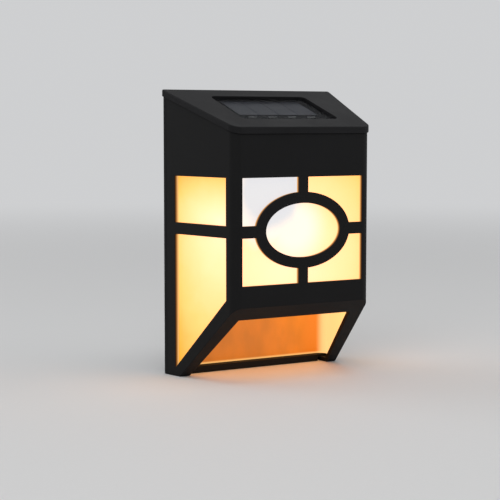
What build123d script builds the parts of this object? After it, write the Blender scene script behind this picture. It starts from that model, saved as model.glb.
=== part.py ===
from build123d import *
import math
import os

os.makedirs("parts", exist_ok=True)

# A solar fence light that hangs on a wall. Millimetres. +Z is up and +Y points into the wall.
# The origin is the centre of the wall face, so the light lies at y < 0. A "rise" is a height above the feet.

# Body
height = 145.0
back_width = 100.0
front_width = 79.0
depth = 54.5
roof_fall = 18.7
mouth_rise = 38.4
foot_depth = 13.0
front_radius = 5.0
back_radius = 1.2
wall = 2.2
plate = 3.0

# Windows and the mouth below them
window_margin = 4.5
window_sill = 10.6
bar_width = 5.9
post_width = 5.5
ring_share_x = 0.783
ring_share_z = 0.36
ring_band_x = 5.8
ring_band_z = 5.5
side_back = 9.5
side_margin = 6.4
side_corner_lift = 3.6
side_tip_lift = 0.9
side_tip_radius = 0.8
mouth_rail = 10.2
mouth_top_margin = 6.6
mouth_foot_margin = 8.5

# Sill, the hooked lip that grips it, and the diffuser that stands on it
lip_thickness = 1.4
sill_thickness = 1.7
sill_depth = 3.5
lip_hook = 1.2
diffuser_wall = 1.6
diffuser_radius = 5.0

# Clearances
fit_gap = 0.3
slide_gap = 0.2
screw_gap = 0.05

# Lid, seal and the well of the solar panel
lid_thickness = 1.8
lid_overhang = 0.7
skirt_thickness = 1.3
skirt_depth = 3.2
seal_thickness = 0.6
seal_width = 1.2
rim_height = 3.0
rim_thickness = 1.4
lid_edge_radius = 0.6
well_length = 56.5
well_width = 35.2
well_start = 10.8
well_radius = 3.0
well_recess = 1.1
well_floor = 1.4
well_wall = 1.5
lead_hole_x = 3.0
lead_hole_shift = 4.0

# Solar panel
board_stock = 1.2
cell_thickness = 0.3
cover_thickness = 1.0
cell_count = 4
cell_gap = 0.4
cell_side_margin = 5.0
cell_rear_margin = 2.0
cell_front_margin = 8.0
tab_length = 4.5
tab_width = 1.0
tab_gap = 2.6

# Tray, its shelf in the housing and the lid screws that clamp the two
tray_thickness = 2.0
tray_drop = 4.8
shelf_width = 2.5
shelf_thickness = 2.0
boss_radius = 3.0
boss_gap = 2.3
rear_boss_x = 36.0
front_boss_margin = 9.0
screw_radius = 1.45
screw_head_radius = 2.75
screw_head_height = 1.8
screw_reach = 12.0
recess_width = 0.9
recess_depth = 0.9

# Battery bay
cell_radius = 7.1
cell_body = 49.5
nub_radius = 2.7
nub_height = 1.0
sleeve_wall = 0.15
sleeve_gap = 0.05
bay_gap = 1.2
saddle_height = 3.0
saddle_width = 2.0
saddle_depth = 9.0
saddle_x = 14.0
bay_wall = 1.6
contact_stock = 0.4
contact_width = 10.0
contact_reach = 6.0
spring_length = 5.0
spring_radius = 3.6
spring_wire = 0.7
spring_turns = 3

# Battery door and its hinge pin
door_thickness = 1.8
door_sink = 0.6
door_height = 16.0
door_rise = 2.0
ledge_width = 1.0
ledge_thickness = 2.0
pin_seat = 2.2
grip_length = 12.0
grip_pitch = 2.0
grip_depth = 0.4
grip_count = 3
pin_radius = 0.75
knuckle_radius = 1.7
knuckle_length = 12.0
ear_width = 3.0
notch_radius = 5.0
notch_depth = 1.2

# Keyholes and case screws
keyhole_x = 37.0
keyhole_radius = 4.25
slot_radius = 2.1
slot_rise = 7.0
cup_depth = 5.0
cup_wall = 1.2
case_boss_radius = 3.2
case_boss_length = 10.0
case_screw_length = 9.0
counterbore_depth = 2.0

# Slide switch
switch_drop = 2.24
switch_length = 11.0
switch_height = 5.0
switch_depth = 4.4
switch_rib = 1.2
switch_rib_height = 2.5
knob_travel = 3.0
knob_width = 3.0
knob_height = 2.4
knob_foot_length = 4.4
knob_foot_height = 3.0
knob_foot_thickness = 1.2
knob_sink = 0.6
switch_pocket_depth = 2.2
recess_web = 1.0
finger_length = 15.0
finger_height = 6.0
lug_size = 1.0
lug_length = 1.5
lug_x = 3.0

# Circuit board and what it carries
pcb_gap = 1.5
pcb_width = 22.0
pcb_thickness = 1.6
standoff_height = 2.0
standoff_radius = 2.4
pcb_screw_margin = 4.5
pcb_screw_radius = 1.0
pcb_screw_head = 1.9
pcb_screw_length = 3.4
led_x = 8.0
led_margin = 4.0
led_radius = 2.5
led_length = 9.5
led_flange = 0.4
led_flange_height = 1.0
led_pin_radius = 0.25
led_pin_pitch = 2.54
led_pin_length = 2.8
chip_length = 4.9
chip_width = 3.9
chip_height = 1.4
chip_x = -7.0
chip_pins = 4
chip_pin_pitch = 1.27
chip_pin_reach = 1.0
chip_pin_width = 0.4
coil_radius = 1.7
coil_length = 7.0
coil_x = 9.0
coil_wire = 0.3
coil_span = 10.0
part_row_margin = 15.5

# Insulated leads: the straight runs at their ends, and the pads on the board that they end in
lead_radius = 0.6
lead_start = 3.6
lead_stub = 4.0
lead_fall = 6.0
lead_bend = 3.0
solar_pad_x = 5.5
solar_pad_margin = 9.0
battery_pad_margin = 4.0
switch_pad_x = 13.0
switch_pad_margin = 2.0
switch_lead_reach = 20.5

# Places worked out from the sizes above
foot_z = -height / 2
top_z = height / 2
taper = math.atan((back_width - front_width) / 2 / depth)
roof_tilt = math.atan(roof_fall / depth)
slant_run = depth - foot_depth
slant_length = math.hypot(slant_run, mouth_rise)
sill_top = foot_z + lip_thickness + fit_gap + sill_thickness
sill_front = -plate - fit_gap - sill_depth
diffuser_back = -plate - fit_gap
diffuser_inset = wall + fit_gap
panel_length = well_length - 2 * fit_gap
panel_width = well_width - 2 * fit_gap
stack = board_stock + cell_thickness + cover_thickness
well_depth = well_recess + stack

# The compartment hangs below the panel's tub: switch, door opening, door, tray, and the windows under the tray
tub_edge_z = (
    top_z - (well_start - well_wall) * math.sin(roof_tilt) - (well_depth + well_floor) * math.cos(roof_tilt)
)
switch_z = tub_edge_z - switch_drop - switch_height / 2
opening_top = switch_z - switch_height / 2 - slide_gap - switch_rib
pin_y = -door_sink - door_thickness
pin_z = opening_top - knuckle_radius - 2 * fit_gap
door_bottom = pin_z - door_height
opening_bottom = door_bottom - fit_gap
tray_top = door_bottom - door_rise
tray_bottom = tray_top - tray_thickness
window_top = tray_bottom - tray_drop - foot_z
window_bottom = mouth_rise + window_sill
window_half = front_width / 2 - window_margin
bar_rise = (window_top + window_bottom) / 2
ring_x = ring_share_x * window_half
ring_z = ring_share_z * (window_top - window_bottom)
oval_x = ring_x - ring_band_x
oval_z = ring_z - ring_band_z
side_front = depth - side_margin
side_corner_rise = mouth_rise + side_corner_lift
side_tip_rise = sill_top - foot_z + side_tip_lift
mouth_top_half = front_width / 2 - mouth_top_margin
mouth_foot_half = back_width / 2 - mouth_foot_margin

# The battery bay, the board in front of it, and the screw bosses around them
battery_radius = cell_radius + sleeve_gap + sleeve_wall
battery_y = plate + ledge_thickness + bay_gap + battery_radius
battery_z = tray_top + saddle_height + fit_gap + battery_radius
bay_half = (cell_body + nub_height + spring_length + 2 * contact_stock + screw_gap) / 2
nub_tip = bay_half - contact_stock - screw_gap
cell_foot = nub_tip - nub_height - cell_body
door_half = bay_half + fit_gap
opening_half = door_half + fit_gap
contact_top = battery_z + contact_reach
rear_boss_y = plate + cup_depth + cup_wall + boss_gap + boss_radius
front_boss_x = front_width / 2 - front_boss_margin
front_boss_y = depth - wall - shelf_width - fit_gap - boss_radius
pcb_length = 2 * (front_boss_x - boss_radius - pcb_gap)
pcb_rear_y = battery_y + battery_radius + bay_gap
pcb_screw_x = pcb_length / 2 - pcb_screw_margin
led_y = pcb_rear_y + led_margin
part_row_y = pcb_rear_y + part_row_margin
keyhole_z = tray_top + keyhole_radius + cup_wall + 4 * fit_gap
keyhole_end_z = keyhole_z + slot_rise
pocket_radius = keyhole_radius + fit_gap
inner_half_back = back_width / 2 - plate * math.tan(taper) - wall / math.cos(taper)
case_screw_x = inner_half_back - case_boss_radius - fit_gap
case_screw_z = keyhole_end_z + slot_rise
pcb_bottom = tray_top + standoff_height
pcb_top = pcb_bottom + pcb_thickness
pcb_y = -pcb_rear_y - pcb_width / 2
cell_width = (panel_length - 2 * cell_side_margin - (cell_count - 1) * cell_gap) / cell_count
cell_pitch = cell_width + cell_gap
cell_length = panel_width - cell_rear_margin - cell_front_margin - tab_gap - tab_width

roof = Plane(
    origin=(0, 0, top_z), x_dir=(1, 0, 0), z_dir=(0, -math.sin(roof_tilt), math.cos(roof_tilt))
)
under_lid = roof.offset(-lid_thickness)
seat = under_lid.offset(-seal_thickness)
skirt_end = roof.offset(-skirt_depth)
slant = Plane(
    origin=(0, -foot_depth, foot_z), x_dir=(-1, 0, 0), z_dir=(0, mouth_rise, slant_run)
)
plate_front = Plane(origin=(0, -plate, 0), x_dir=(1, 0, 0), z_dir=(0, -1, 0))
wall_face = Plane(origin=(0, 0, 0), x_dir=(1, 0, 0), z_dir=(0, -1, 0))


def plan(inset, back_y, rear_radius):
    """Draw the body's tapered plan, moved in by inset on its sides and front and ended at back_y."""
    front_y = inset - depth
    shift = inset / math.cos(taper)
    front_half = back_width / 2 + front_y * math.tan(taper) - shift
    back_half = back_width / 2 + back_y * math.tan(taper) - shift
    corner = max(front_radius - inset, fit_gap)
    with BuildSketch() as outline:
        with BuildLine():
            Polyline(
                (-back_half, back_y), (back_half, back_y), (front_half, front_y), (-front_half, front_y),
                close=True,
            )
        make_face()
        fillet(outline.vertices().group_by(Axis.Y)[0], radius=corner)
        if rear_radius > 0:
            fillet(outline.vertices().group_by(Axis.Y)[-1], radius=rear_radius)
    return outline.sketch


def prism(inset, back_y, rear_radius, low, high):
    """Stand the body's plan up between two levels."""
    with BuildPart() as solid:
        with BuildSketch(Plane.XY.offset(low)):
            add(plan(inset, back_y, rear_radius))
        extrude(amount=high - low)
    return solid.part


def part_between(solid, low_plane, high_plane):
    """Keep what of a solid lies between two planes whose normals point up."""
    with BuildPart() as kept:
        add(solid)
        split(bisect_by=high_plane, keep=Keep.BOTTOM)
        split(bisect_by=low_plane, keep=Keep.TOP)
    return kept.part


def screw(shank_radius, shank_length, head_radius, head_height):
    """Make a pan head screw along Z: the head's seat is at z = 0 and the shank points up."""
    with BuildPart() as fastener:
        Cylinder(shank_radius, shank_length, align=(Align.CENTER, Align.CENTER, Align.MIN))
        Cylinder(head_radius, head_height, align=(Align.CENTER, Align.CENTER, Align.MAX))
        fillet(fastener.edges().filter_by(GeomType.CIRCLE).group_by(Axis.Z)[0], radius=head_height / 3)
        chamfer(fastener.edges().filter_by(GeomType.CIRCLE).group_by(Axis.Z)[-1], length=shank_radius / 3)
        with BuildSketch(Plane.XY.offset(-head_height)):
            Rectangle(2 * shank_radius, recess_width)
            Rectangle(recess_width, 2 * shank_radius)
        extrude(amount=recess_depth, mode=Mode.SUBTRACT)
    return fastener.part


def route_radii(points):
    """Give each corner of a lead's route the largest arc that its two runs allow."""
    radii = []
    for before, here, after in zip(points, points[1:], points[2:]):
        arriving = Vector(*here) - Vector(*before)
        leaving = Vector(*after) - Vector(*here)
        half_turn = math.radians(arriving.get_angle(leaving)) / 2
        radii.append(0.45 * min(arriving.length, leaving.length) / math.tan(half_turn))
    return radii


def lead(points):
    """Sweep an insulated lead along straight runs joined by tangent arcs."""
    radii = route_radii(points)
    print("lead radii", [round(radius, 1) for radius in radii])
    with BuildPart() as wire:
        with BuildLine() as route:
            FilletPolyline(*points, radius=radii)
        with BuildSketch(Plane(origin=points[0], z_dir=route.line % 0)):
            Circle(lead_radius)
        sweep(path=route.line)
    return wire.part


def biarc_coil(radius, turns, length, axis_start):
    """Join quarter turns of a helix along X with pairs of arcs that meet tangent to each other."""
    steps = 4 * turns
    pitch_angle = math.atan(length / turns / (2 * math.pi * radius))

    def point(step):
        angle = step * math.pi / 2
        across = Vector(0, radius * math.cos(angle), radius * math.sin(angle))
        return axis_start + across + Vector(length * step / steps, 0, 0)

    def heading(step):
        angle = step * math.pi / 2
        level_part = Vector(0, -math.sin(angle), math.cos(angle)) * math.cos(pitch_angle)
        return level_part + Vector(math.sin(pitch_angle), 0, 0)

    with BuildLine() as coil:
        for step in range(steps):
            start, end = point(step), point(step + 1)
            leaving, arriving = heading(step), heading(step + 1)
            chord = end - start
            both = leaving + arriving
            spread = 2 * (1 - leaving.dot(arriving))
            reach = (math.sqrt(chord.dot(both) ** 2 + spread * chord.dot(chord)) - chord.dot(both)) / spread
            start_handle = start + leaving * reach
            end_handle = end - arriving * reach
            middle = (start_handle + end_handle) * 0.5
            TangentArc(start, middle, tangent=leaving)
            TangentArc(middle, end, tangent=(end_handle - start_handle).normalized())
    return coil.line


# Housing: a shell with a slanted mouth, open behind for the back plate and above for the lid
cavity = part_between(
    prism(wall, plate, 0, foot_z + wall, top_z + wall), slant.offset(wall), roof.offset(lid_thickness)
)
shelf_outer = prism(wall / 2, -plate, 0, tray_top, tray_top + shelf_thickness)
shelf_inner = prism(wall + shelf_width, 0, 0, tray_top, tray_top + shelf_thickness)
rebate_outer = prism(-2 * lid_overhang, wall, 0, foot_z, top_z)
rebate_inner = prism(lid_overhang, 2 * wall, 0, foot_z, top_z)
rebate = part_between(rebate_outer - rebate_inner, skirt_end.offset(-slide_gap), roof)

with BuildPart() as housing:
    add(prism(0, -plate, 0, foot_z, top_z))
    add(cavity, mode=Mode.SUBTRACT)
    split(bisect_by=slant, keep=Keep.TOP)
    add(shelf_outer - shelf_inner)
    with Locations(plate_front):
        with Locations((-case_screw_x, case_screw_z), (case_screw_x, case_screw_z)):
            Cylinder(
                case_boss_radius, case_boss_length, align=(Align.CENTER, Align.CENTER, Align.MIN)
            )
    split(bisect_by=seat, keep=Keep.BOTTOM)
    # The front panel's windows: a rectangle less its cross bars and the ring, with the oval open again
    with BuildSketch(wall_face.offset(depth)):
        with Locations((0, foot_z + (window_top + window_bottom) / 2)):
            Rectangle(2 * window_half, window_top - window_bottom)
        with Locations((0, foot_z + bar_rise)):
            Rectangle(2 * window_half, bar_width, mode=Mode.SUBTRACT)
            Ellipse(ring_x, ring_z, mode=Mode.SUBTRACT)
        with Locations((0, foot_z + (window_top + window_bottom) / 2)):
            Rectangle(post_width, window_top - window_bottom, mode=Mode.SUBTRACT)
        with Locations((0, foot_z + bar_rise)):
            Ellipse(oval_x, oval_z)
    extrude(amount=-(wall + fit_gap), mode=Mode.SUBTRACT)
    # The side windows, cut straight across through both walls
    with BuildSketch(Plane.YZ):
        with BuildLine():
            Polyline(
                (-side_front, foot_z + bar_rise + bar_width / 2), (-side_back, foot_z + bar_rise + bar_width / 2),
                (-side_back, foot_z + window_top), (-side_front, foot_z + window_top), close=True,
            )
        make_face()
    extrude(amount=back_width, both=True, mode=Mode.SUBTRACT)
    with BuildSketch(Plane.YZ) as lower_side:
        with BuildLine():
            Polyline(
                (-side_front, foot_z + bar_rise - bar_width / 2), (-side_back, foot_z + bar_rise - bar_width / 2),
                (-side_back, foot_z + side_tip_rise), (-side_front, foot_z + side_corner_rise), close=True,
            )
        make_face()
        fillet(lower_side.vertices().sort_by(Axis.Y)[-2:].sort_by(Axis.Z)[0], radius=side_tip_radius)
    extrude(amount=back_width, both=True, mode=Mode.SUBTRACT)
    # The mouth: an opening in the slanted frame that runs out between the feet
    with BuildSketch(slant):
        with BuildLine():
            Polyline(
                (-mouth_top_half, slant_length - mouth_rail), (mouth_top_half, slant_length - mouth_rail),
                (mouth_foot_half, 0), (mouth_foot_half, -foot_depth), (-mouth_foot_half, -foot_depth),
                (-mouth_foot_half, 0), close=True,
            )
        make_face()
    extrude(amount=wall + fit_gap, mode=Mode.SUBTRACT)
    with Locations((0, -plate, foot_z)):
        Box(
            2 * mouth_foot_half, 2 * foot_depth, 2 * (wall + fit_gap),
            align=(Align.CENTER, Align.MAX, Align.CENTER), mode=Mode.SUBTRACT,
        )
    with Locations((0, sill_front, sill_top)):
        Box(
            2 * inner_half_back, sill_depth + fit_gap, sill_thickness,
            align=(Align.CENTER, Align.MIN, Align.MAX),
        )
    with Locations(plate_front):
        with Locations((-case_screw_x, case_screw_z), (case_screw_x, case_screw_z)):
            Cylinder(
                screw_radius + screw_gap, case_screw_length + counterbore_depth - plate + fit_gap,
                align=(Align.CENTER, Align.CENTER, Align.MIN), mode=Mode.SUBTRACT,
            )
    add(rebate, mode=Mode.SUBTRACT)
housing.part.label = "housing"
export_step(housing.part, "parts/housing.step")

# Diffuser: one frosted sleeve that lines the housing, open above and below
with BuildPart() as diffuser:
    add(prism(diffuser_inset, diffuser_back, diffuser_radius, sill_top + slide_gap, tray_bottom - fit_gap))
    add(
        prism(
            diffuser_inset + diffuser_wall, diffuser_back - diffuser_wall, diffuser_radius - diffuser_wall,
            foot_z, tray_top,
        ),
        mode=Mode.SUBTRACT,
    )
    split(bisect_by=slant.offset(diffuser_inset), keep=Keep.TOP)
diffuser.part.label = "diffuser"
export_step(diffuser.part, "parts/diffuser.step")

# Back plate: keyholes in blind cups, the battery door's opening, the switch's recess and the hooked lip
lip_front = sill_front - fit_gap - lip_hook
frame_half = opening_half + ear_width
frame_bottom = opening_bottom - ledge_width
door_pocket = door_sink + door_thickness + fit_gap
slot_middle_z = (keyhole_z + keyhole_end_z) / 2
cup_radius = pocket_radius + cup_wall
switch_frame_length = switch_length + 2 * slide_gap
switch_frame_height = switch_height + 2 * slide_gap
pin_axis = Plane(origin=(0, pin_y, pin_z), x_dir=(0, 1, 0), z_dir=(1, 0, 0))

with BuildPart() as back_plate:
    add(prism(0, 0, back_radius, foot_z, top_z))
    split(bisect_by=plate_front, keep=Keep.BOTTOM)
    split(bisect_by=seat, keep=Keep.BOTTOM)
    with BuildSketch(plate_front):
        with Locations((-keyhole_x, slot_middle_z), (keyhole_x, slot_middle_z)):
            SlotCenterToCenter(slot_rise, 2 * cup_radius, rotation=90)
    extrude(amount=cup_depth + cup_wall)
    with BuildSketch(plate_front):
        with Locations((0, (frame_bottom + opening_top) / 2)):
            Rectangle(2 * frame_half, opening_top - frame_bottom)
    extrude(amount=ledge_thickness)
    with BuildSketch(plate_front):
        with Locations((0, switch_z)):
            Rectangle(switch_frame_length + 2 * switch_rib, switch_frame_height + 2 * switch_rib)
            Rectangle(switch_frame_length, switch_frame_height, mode=Mode.SUBTRACT)
    extrude(amount=switch_rib_height)
    with Locations((0, -plate, foot_z)):
        Box(
            2 * (mouth_foot_half - wall), -plate - lip_front, lip_thickness,
            align=(Align.CENTER, Align.MAX, Align.MIN),
        )
    with Locations((0, lip_front, foot_z)):
        Box(
            2 * (mouth_foot_half - wall), lip_hook, sill_top - foot_z,
            align=(Align.CENTER, Align.MIN, Align.MIN),
        )
    # Keyholes: a round entry, a slot above it and a closed pocket behind for the screw's head
    with BuildSketch(wall_face):
        with Locations((-keyhole_x, keyhole_z), (keyhole_x, keyhole_z)):
            Circle(keyhole_radius)
        with Locations((-keyhole_x, slot_middle_z), (keyhole_x, slot_middle_z)):
            SlotCenterToCenter(slot_rise, 2 * slot_radius, rotation=90)
    extrude(amount=plate, mode=Mode.SUBTRACT)
    with BuildSketch(plate_front):
        with Locations((-keyhole_x, slot_middle_z), (keyhole_x, slot_middle_z)):
            SlotCenterToCenter(slot_rise, 2 * pocket_radius, rotation=90)
    extrude(amount=cup_depth, mode=Mode.SUBTRACT)
    # The door's opening: a stepped pocket with a ledge, full width at the hinge
    with BuildSketch(wall_face):
        with Locations((0, (opening_bottom + opening_top) / 2)):
            Rectangle(2 * opening_half, opening_top - opening_bottom)
    extrude(amount=door_pocket, mode=Mode.SUBTRACT)
    with BuildSketch(wall_face):
        with Locations((0, (opening_bottom + ledge_width + opening_top) / 2)):
            Rectangle(2 * (opening_half - ledge_width), opening_top - opening_bottom - ledge_width)
        with Locations((0, pin_z)):
            Rectangle(2 * opening_half, 2 * (opening_top - pin_z))
    extrude(amount=plate + ledge_thickness, mode=Mode.SUBTRACT)
    with BuildSketch(wall_face):
        with Locations((0, opening_bottom)):
            Circle(notch_radius)
    extrude(amount=door_sink + notch_depth, mode=Mode.SUBTRACT)
    with Locations(pin_axis):
        Cylinder(pin_radius + screw_gap, 2 * (opening_half + pin_seat), mode=Mode.SUBTRACT)
    # The switch's finger recess and the slot that its knob comes through
    with BuildSketch(wall_face):
        with Locations((0, switch_z)):
            SlotOverall(finger_length, finger_height)
    extrude(amount=plate - recess_web, mode=Mode.SUBTRACT)
    with BuildSketch(wall_face):
        with Locations((0, switch_z)):
            Rectangle(knob_width + knob_travel + 2 * fit_gap, knob_height + 2 * slide_gap)
    extrude(amount=plate, mode=Mode.SUBTRACT)
    with Locations(wall_face):
        with Locations((-case_screw_x, case_screw_z), (case_screw_x, case_screw_z)):
            Cylinder(
                screw_radius + slide_gap, plate,
                align=(Align.CENTER, Align.CENTER, Align.MIN), mode=Mode.SUBTRACT,
            )
            Cylinder(
                screw_head_radius + slide_gap, counterbore_depth,
                align=(Align.CENTER, Align.CENTER, Align.MIN), mode=Mode.SUBTRACT,
            )
    add(rebate, mode=Mode.SUBTRACT)
back_plate.part.label = "back_plate"
export_step(back_plate.part, "parts/back_plate.step")

# Battery door: a flat panel with two knuckles, hung from its top edge on a steel pin
with BuildPart() as battery_door:
    with Locations((0, pin_y, door_bottom)):
        Box(
            2 * door_half, door_thickness, door_height, align=(Align.CENTER, Align.MIN, Align.MIN)
        )
    knuckle_x = door_half - knuckle_length / 2
    with Locations(pin_axis.offset(-knuckle_x), pin_axis.offset(knuckle_x)):
        Cylinder(knuckle_radius, knuckle_length)
    with Locations(pin_axis):
        Cylinder(pin_radius + screw_gap, 3 * door_half, mode=Mode.SUBTRACT)
    with BuildSketch(wall_face.offset(door_sink)):
        with Locations((0, door_bottom + grip_count * grip_pitch)):
            with GridLocations(0, grip_pitch, 1, grip_count):
                SlotOverall(grip_length, grip_pitch / 2)
    extrude(amount=grip_depth, mode=Mode.SUBTRACT)
battery_door.part.label = "battery_door"
export_step(battery_door.part, "parts/battery_door.step")

with BuildPart() as door_pin:
    with Locations(pin_axis):
        Cylinder(pin_radius, 2 * (opening_half + pin_seat - slide_gap))
    chamfer(door_pin.edges().filter_by(GeomType.CIRCLE), length=pin_radius / 4)
door_pin.part.label = "door_pin"
export_step(door_pin.part, "parts/door_pin.step")

# Lid: a sloped plate with a skirt, an inner rim, the panel's tub and four screw bosses
well_plane = roof.offset(-well_depth)
well_middle = -(well_start + well_width / 2)
lid_slab = part_between(prism(-lid_overhang, 0, back_radius, foot_z, 2 * top_z), skirt_end, roof)
lid_hollow = part_between(
    prism(skirt_thickness - lid_overhang, plate, 0, foot_z, top_z), skirt_end.offset(-wall), under_lid
)
rim_inset = wall + fit_gap
rim_outer = prism(rim_inset, -plate - fit_gap, 0, foot_z, top_z)
rim_inner = prism(rim_inset + rim_thickness, -plate - fit_gap - rim_thickness, 0, foot_z, top_z)
lid_rim = part_between(rim_outer - rim_inner, under_lid.offset(-rim_height), roof.offset(-wall / 2))
boss_places = [
    (-rear_boss_x, -rear_boss_y), (rear_boss_x, -rear_boss_y),
    (-front_boss_x, -front_boss_y), (front_boss_x, -front_boss_y),
]
lead_hole_y = well_middle - lead_hole_shift

with BuildPart() as lid:
    add(lid_slab)
    fillet(lid.faces().sort_by(Axis(roof.origin, roof.z_dir))[-1].edges(), radius=lid_edge_radius)
    add(lid_hollow, mode=Mode.SUBTRACT)
    add(lid_rim)
    with BuildSketch(under_lid):
        with Locations((0, well_middle)):
            RectangleRounded(
                well_length + 2 * well_wall, well_width + 2 * well_wall, well_radius + well_wall
            )
    extrude(amount=-(well_depth + well_floor - lid_thickness))
    with BuildSketch(Plane.XY.offset(tray_top)):
        with Locations(*boss_places):
            Circle(boss_radius)
    extrude(until=Until.NEXT)
    with BuildSketch(roof):
        with Locations((0, well_middle)):
            RectangleRounded(well_length, well_width, well_radius)
    extrude(amount=-well_depth, mode=Mode.SUBTRACT)
    with BuildSketch(well_plane):
        with Locations((-lead_hole_x, lead_hole_y), (lead_hole_x, lead_hole_y)):
            Circle(lead_radius + fit_gap)
    extrude(amount=-well_floor, mode=Mode.SUBTRACT)
    with BuildSketch(Plane.XY.offset(tray_top)):
        with Locations(*boss_places):
            Circle(screw_radius + screw_gap)
    extrude(amount=screw_reach, mode=Mode.SUBTRACT)
lid.part.label = "lid"
export_step(lid.part, "parts/lid.step")

# Seal: a flat rubber ring between the lid and the tops of the walls
seal_outer = prism(lid_overhang + slide_gap, -slide_gap, 0, foot_z, top_z)
seal_inner = prism(
    lid_overhang + slide_gap + seal_width, -slide_gap - seal_width, 0, foot_z, top_z
)
lid_seal = part_between(seal_outer - seal_inner, seat, under_lid)
lid_seal.label = "lid_seal"
export_step(lid_seal, "parts/lid_seal.step")

# Solar panel: a base board, a row of cells with a silver tab below each, and a clear cover
cell_y = well_middle + panel_width / 2 - cell_rear_margin - cell_length / 2
tab_y = cell_y - cell_length / 2 - tab_gap - tab_width / 2
cell_plane = well_plane.offset(board_stock)

with BuildPart() as solar_board:
    with BuildSketch(well_plane):
        with Locations((0, well_middle)):
            RectangleRounded(panel_length, panel_width, well_radius - fit_gap)
    extrude(amount=board_stock)
solar_board.part.label = "solar_board"
export_step(solar_board.part, "parts/solar_board.step")

with BuildPart() as solar_cells:
    with BuildSketch(cell_plane):
        with Locations((0, cell_y)):
            with GridLocations(cell_pitch, 0, cell_count, 1):
                Rectangle(cell_width, cell_length)
    extrude(amount=cell_thickness)
solar_cells.part.label = "solar_cells"
export_step(solar_cells.part, "parts/solar_cells.step")

with BuildPart() as cell_tabs:
    with BuildSketch(cell_plane):
        with Locations((0, tab_y)):
            with GridLocations(cell_pitch, 0, cell_count, 1):
                Rectangle(tab_length, tab_width)
    extrude(amount=cell_thickness)
cell_tabs.part.label = "cell_tabs"
export_step(cell_tabs.part, "parts/cell_tabs.step")

with BuildPart() as panel_cover:
    with BuildSketch(cell_plane.offset(cell_thickness)):
        with Locations((0, well_middle)):
            RectangleRounded(panel_length, panel_width, well_radius - fit_gap)
    extrude(amount=cover_thickness)
panel_cover.part.label = "panel_cover"
export_step(panel_cover.part, "parts/panel_cover.step")

# Electronics tray: the chamber's ceiling, with the battery's bay and the board's standoffs
bay_wall_x = bay_half + screw_gap + bay_wall / 2
led_places = [(-led_x, -led_y), (led_x, -led_y)]
standoff_places = [(-pcb_screw_x, pcb_y), (pcb_screw_x, pcb_y)]
battery_axis = Plane(origin=(0, -battery_y, battery_z), x_dir=(0, 1, 0), z_dir=(1, 0, 0))

with BuildPart() as electronics_tray:
    add(prism(wall + fit_gap, -plate - fit_gap, 0, tray_bottom, tray_top))
    with BuildSketch(Plane.XY.offset(tray_top)):
        with Locations((-saddle_x, -battery_y), (saddle_x, -battery_y)):
            Rectangle(saddle_width, saddle_depth)
    extrude(amount=saddle_height + battery_radius / 2)
    with Locations(battery_axis):
        Cylinder(battery_radius + fit_gap, 2 * bay_half, mode=Mode.SUBTRACT)
    with BuildSketch(Plane.XY.offset(tray_top)):
        with Locations((-bay_wall_x, -battery_y), (bay_wall_x, -battery_y)):
            Rectangle(bay_wall, contact_width + bay_wall)
    extrude(amount=contact_top - tray_top - lead_radius)
    with BuildSketch(Plane.XY.offset(tray_top)):
        with Locations(*standoff_places):
            Circle(standoff_radius)
    extrude(amount=standoff_height)
    with BuildSketch(Plane.XY.offset(pcb_bottom)):
        with Locations(*standoff_places):
            Circle(pcb_screw_radius + screw_gap)
    extrude(amount=-(standoff_height + tray_thickness / 2), mode=Mode.SUBTRACT)
    with BuildSketch(Plane.XY.offset(tray_bottom)):
        with Locations(*led_places):
            Circle(led_radius + fit_gap)
        with Locations(*boss_places):
            Circle(screw_radius + slide_gap)
    extrude(amount=tray_thickness, mode=Mode.SUBTRACT)
electronics_tray.part.label = "electronics_tray"
export_step(electronics_tray.part, "parts/electronics_tray.step")

# Circuit board, its light-emitting diodes, driver chip and coil
with BuildPart() as circuit_board:
    with BuildSketch(Plane.XY.offset(pcb_bottom)):
        with Locations((0, pcb_y)):
            RectangleRounded(pcb_length, pcb_width, fit_gap)
        with Locations(*standoff_places):
            Circle(pcb_screw_radius + slide_gap, mode=Mode.SUBTRACT)
        with Locations(*led_places):
            with GridLocations(led_pin_pitch, 0, 2, 1):
                Circle(led_pin_radius + slide_gap, mode=Mode.SUBTRACT)
    extrude(amount=pcb_thickness)
circuit_board.part.label = "circuit_board"
export_step(circuit_board.part, "parts/circuit_board.step")

with BuildPart() as leds:
    for place in led_places:
        with Locations((*place, pcb_bottom)):
            Cylinder(
                led_radius + led_flange, led_flange_height, align=(Align.CENTER, Align.CENTER, Align.MAX)
            )
            Cylinder(
                led_radius, led_length - led_radius, align=(Align.CENTER, Align.CENTER, Align.MAX)
            )
        with Locations((*place, pcb_bottom - led_length + led_radius)):
            Sphere(led_radius)
        with Locations((*place, pcb_bottom)):
            with GridLocations(led_pin_pitch, 0, 2, 1):
                Cylinder(
                    led_pin_radius, led_pin_length, align=(Align.CENTER, Align.CENTER, Align.MIN)
                )
leds.part.label = "leds"
export_step(leds.part, "parts/leds.step")

with BuildPart() as driver_chip:
    with BuildSketch(Plane.XY.offset(pcb_top + fit_gap)):
        with Locations((chip_x, -part_row_y)):
            Rectangle(chip_length, chip_width)
    extrude(amount=chip_height)
    with BuildSketch(Plane.XY.offset(pcb_top)):
        with Locations((chip_x, -part_row_y)):
            with GridLocations(chip_pin_pitch, 0, chip_pins, 1):
                Rectangle(chip_pin_width, chip_width + 2 * chip_pin_reach)
    extrude(amount=fit_gap + chip_pin_width / 2)
driver_chip.part.label = "driver_chip"
export_step(driver_chip.part, "parts/driver_chip.step")

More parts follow.
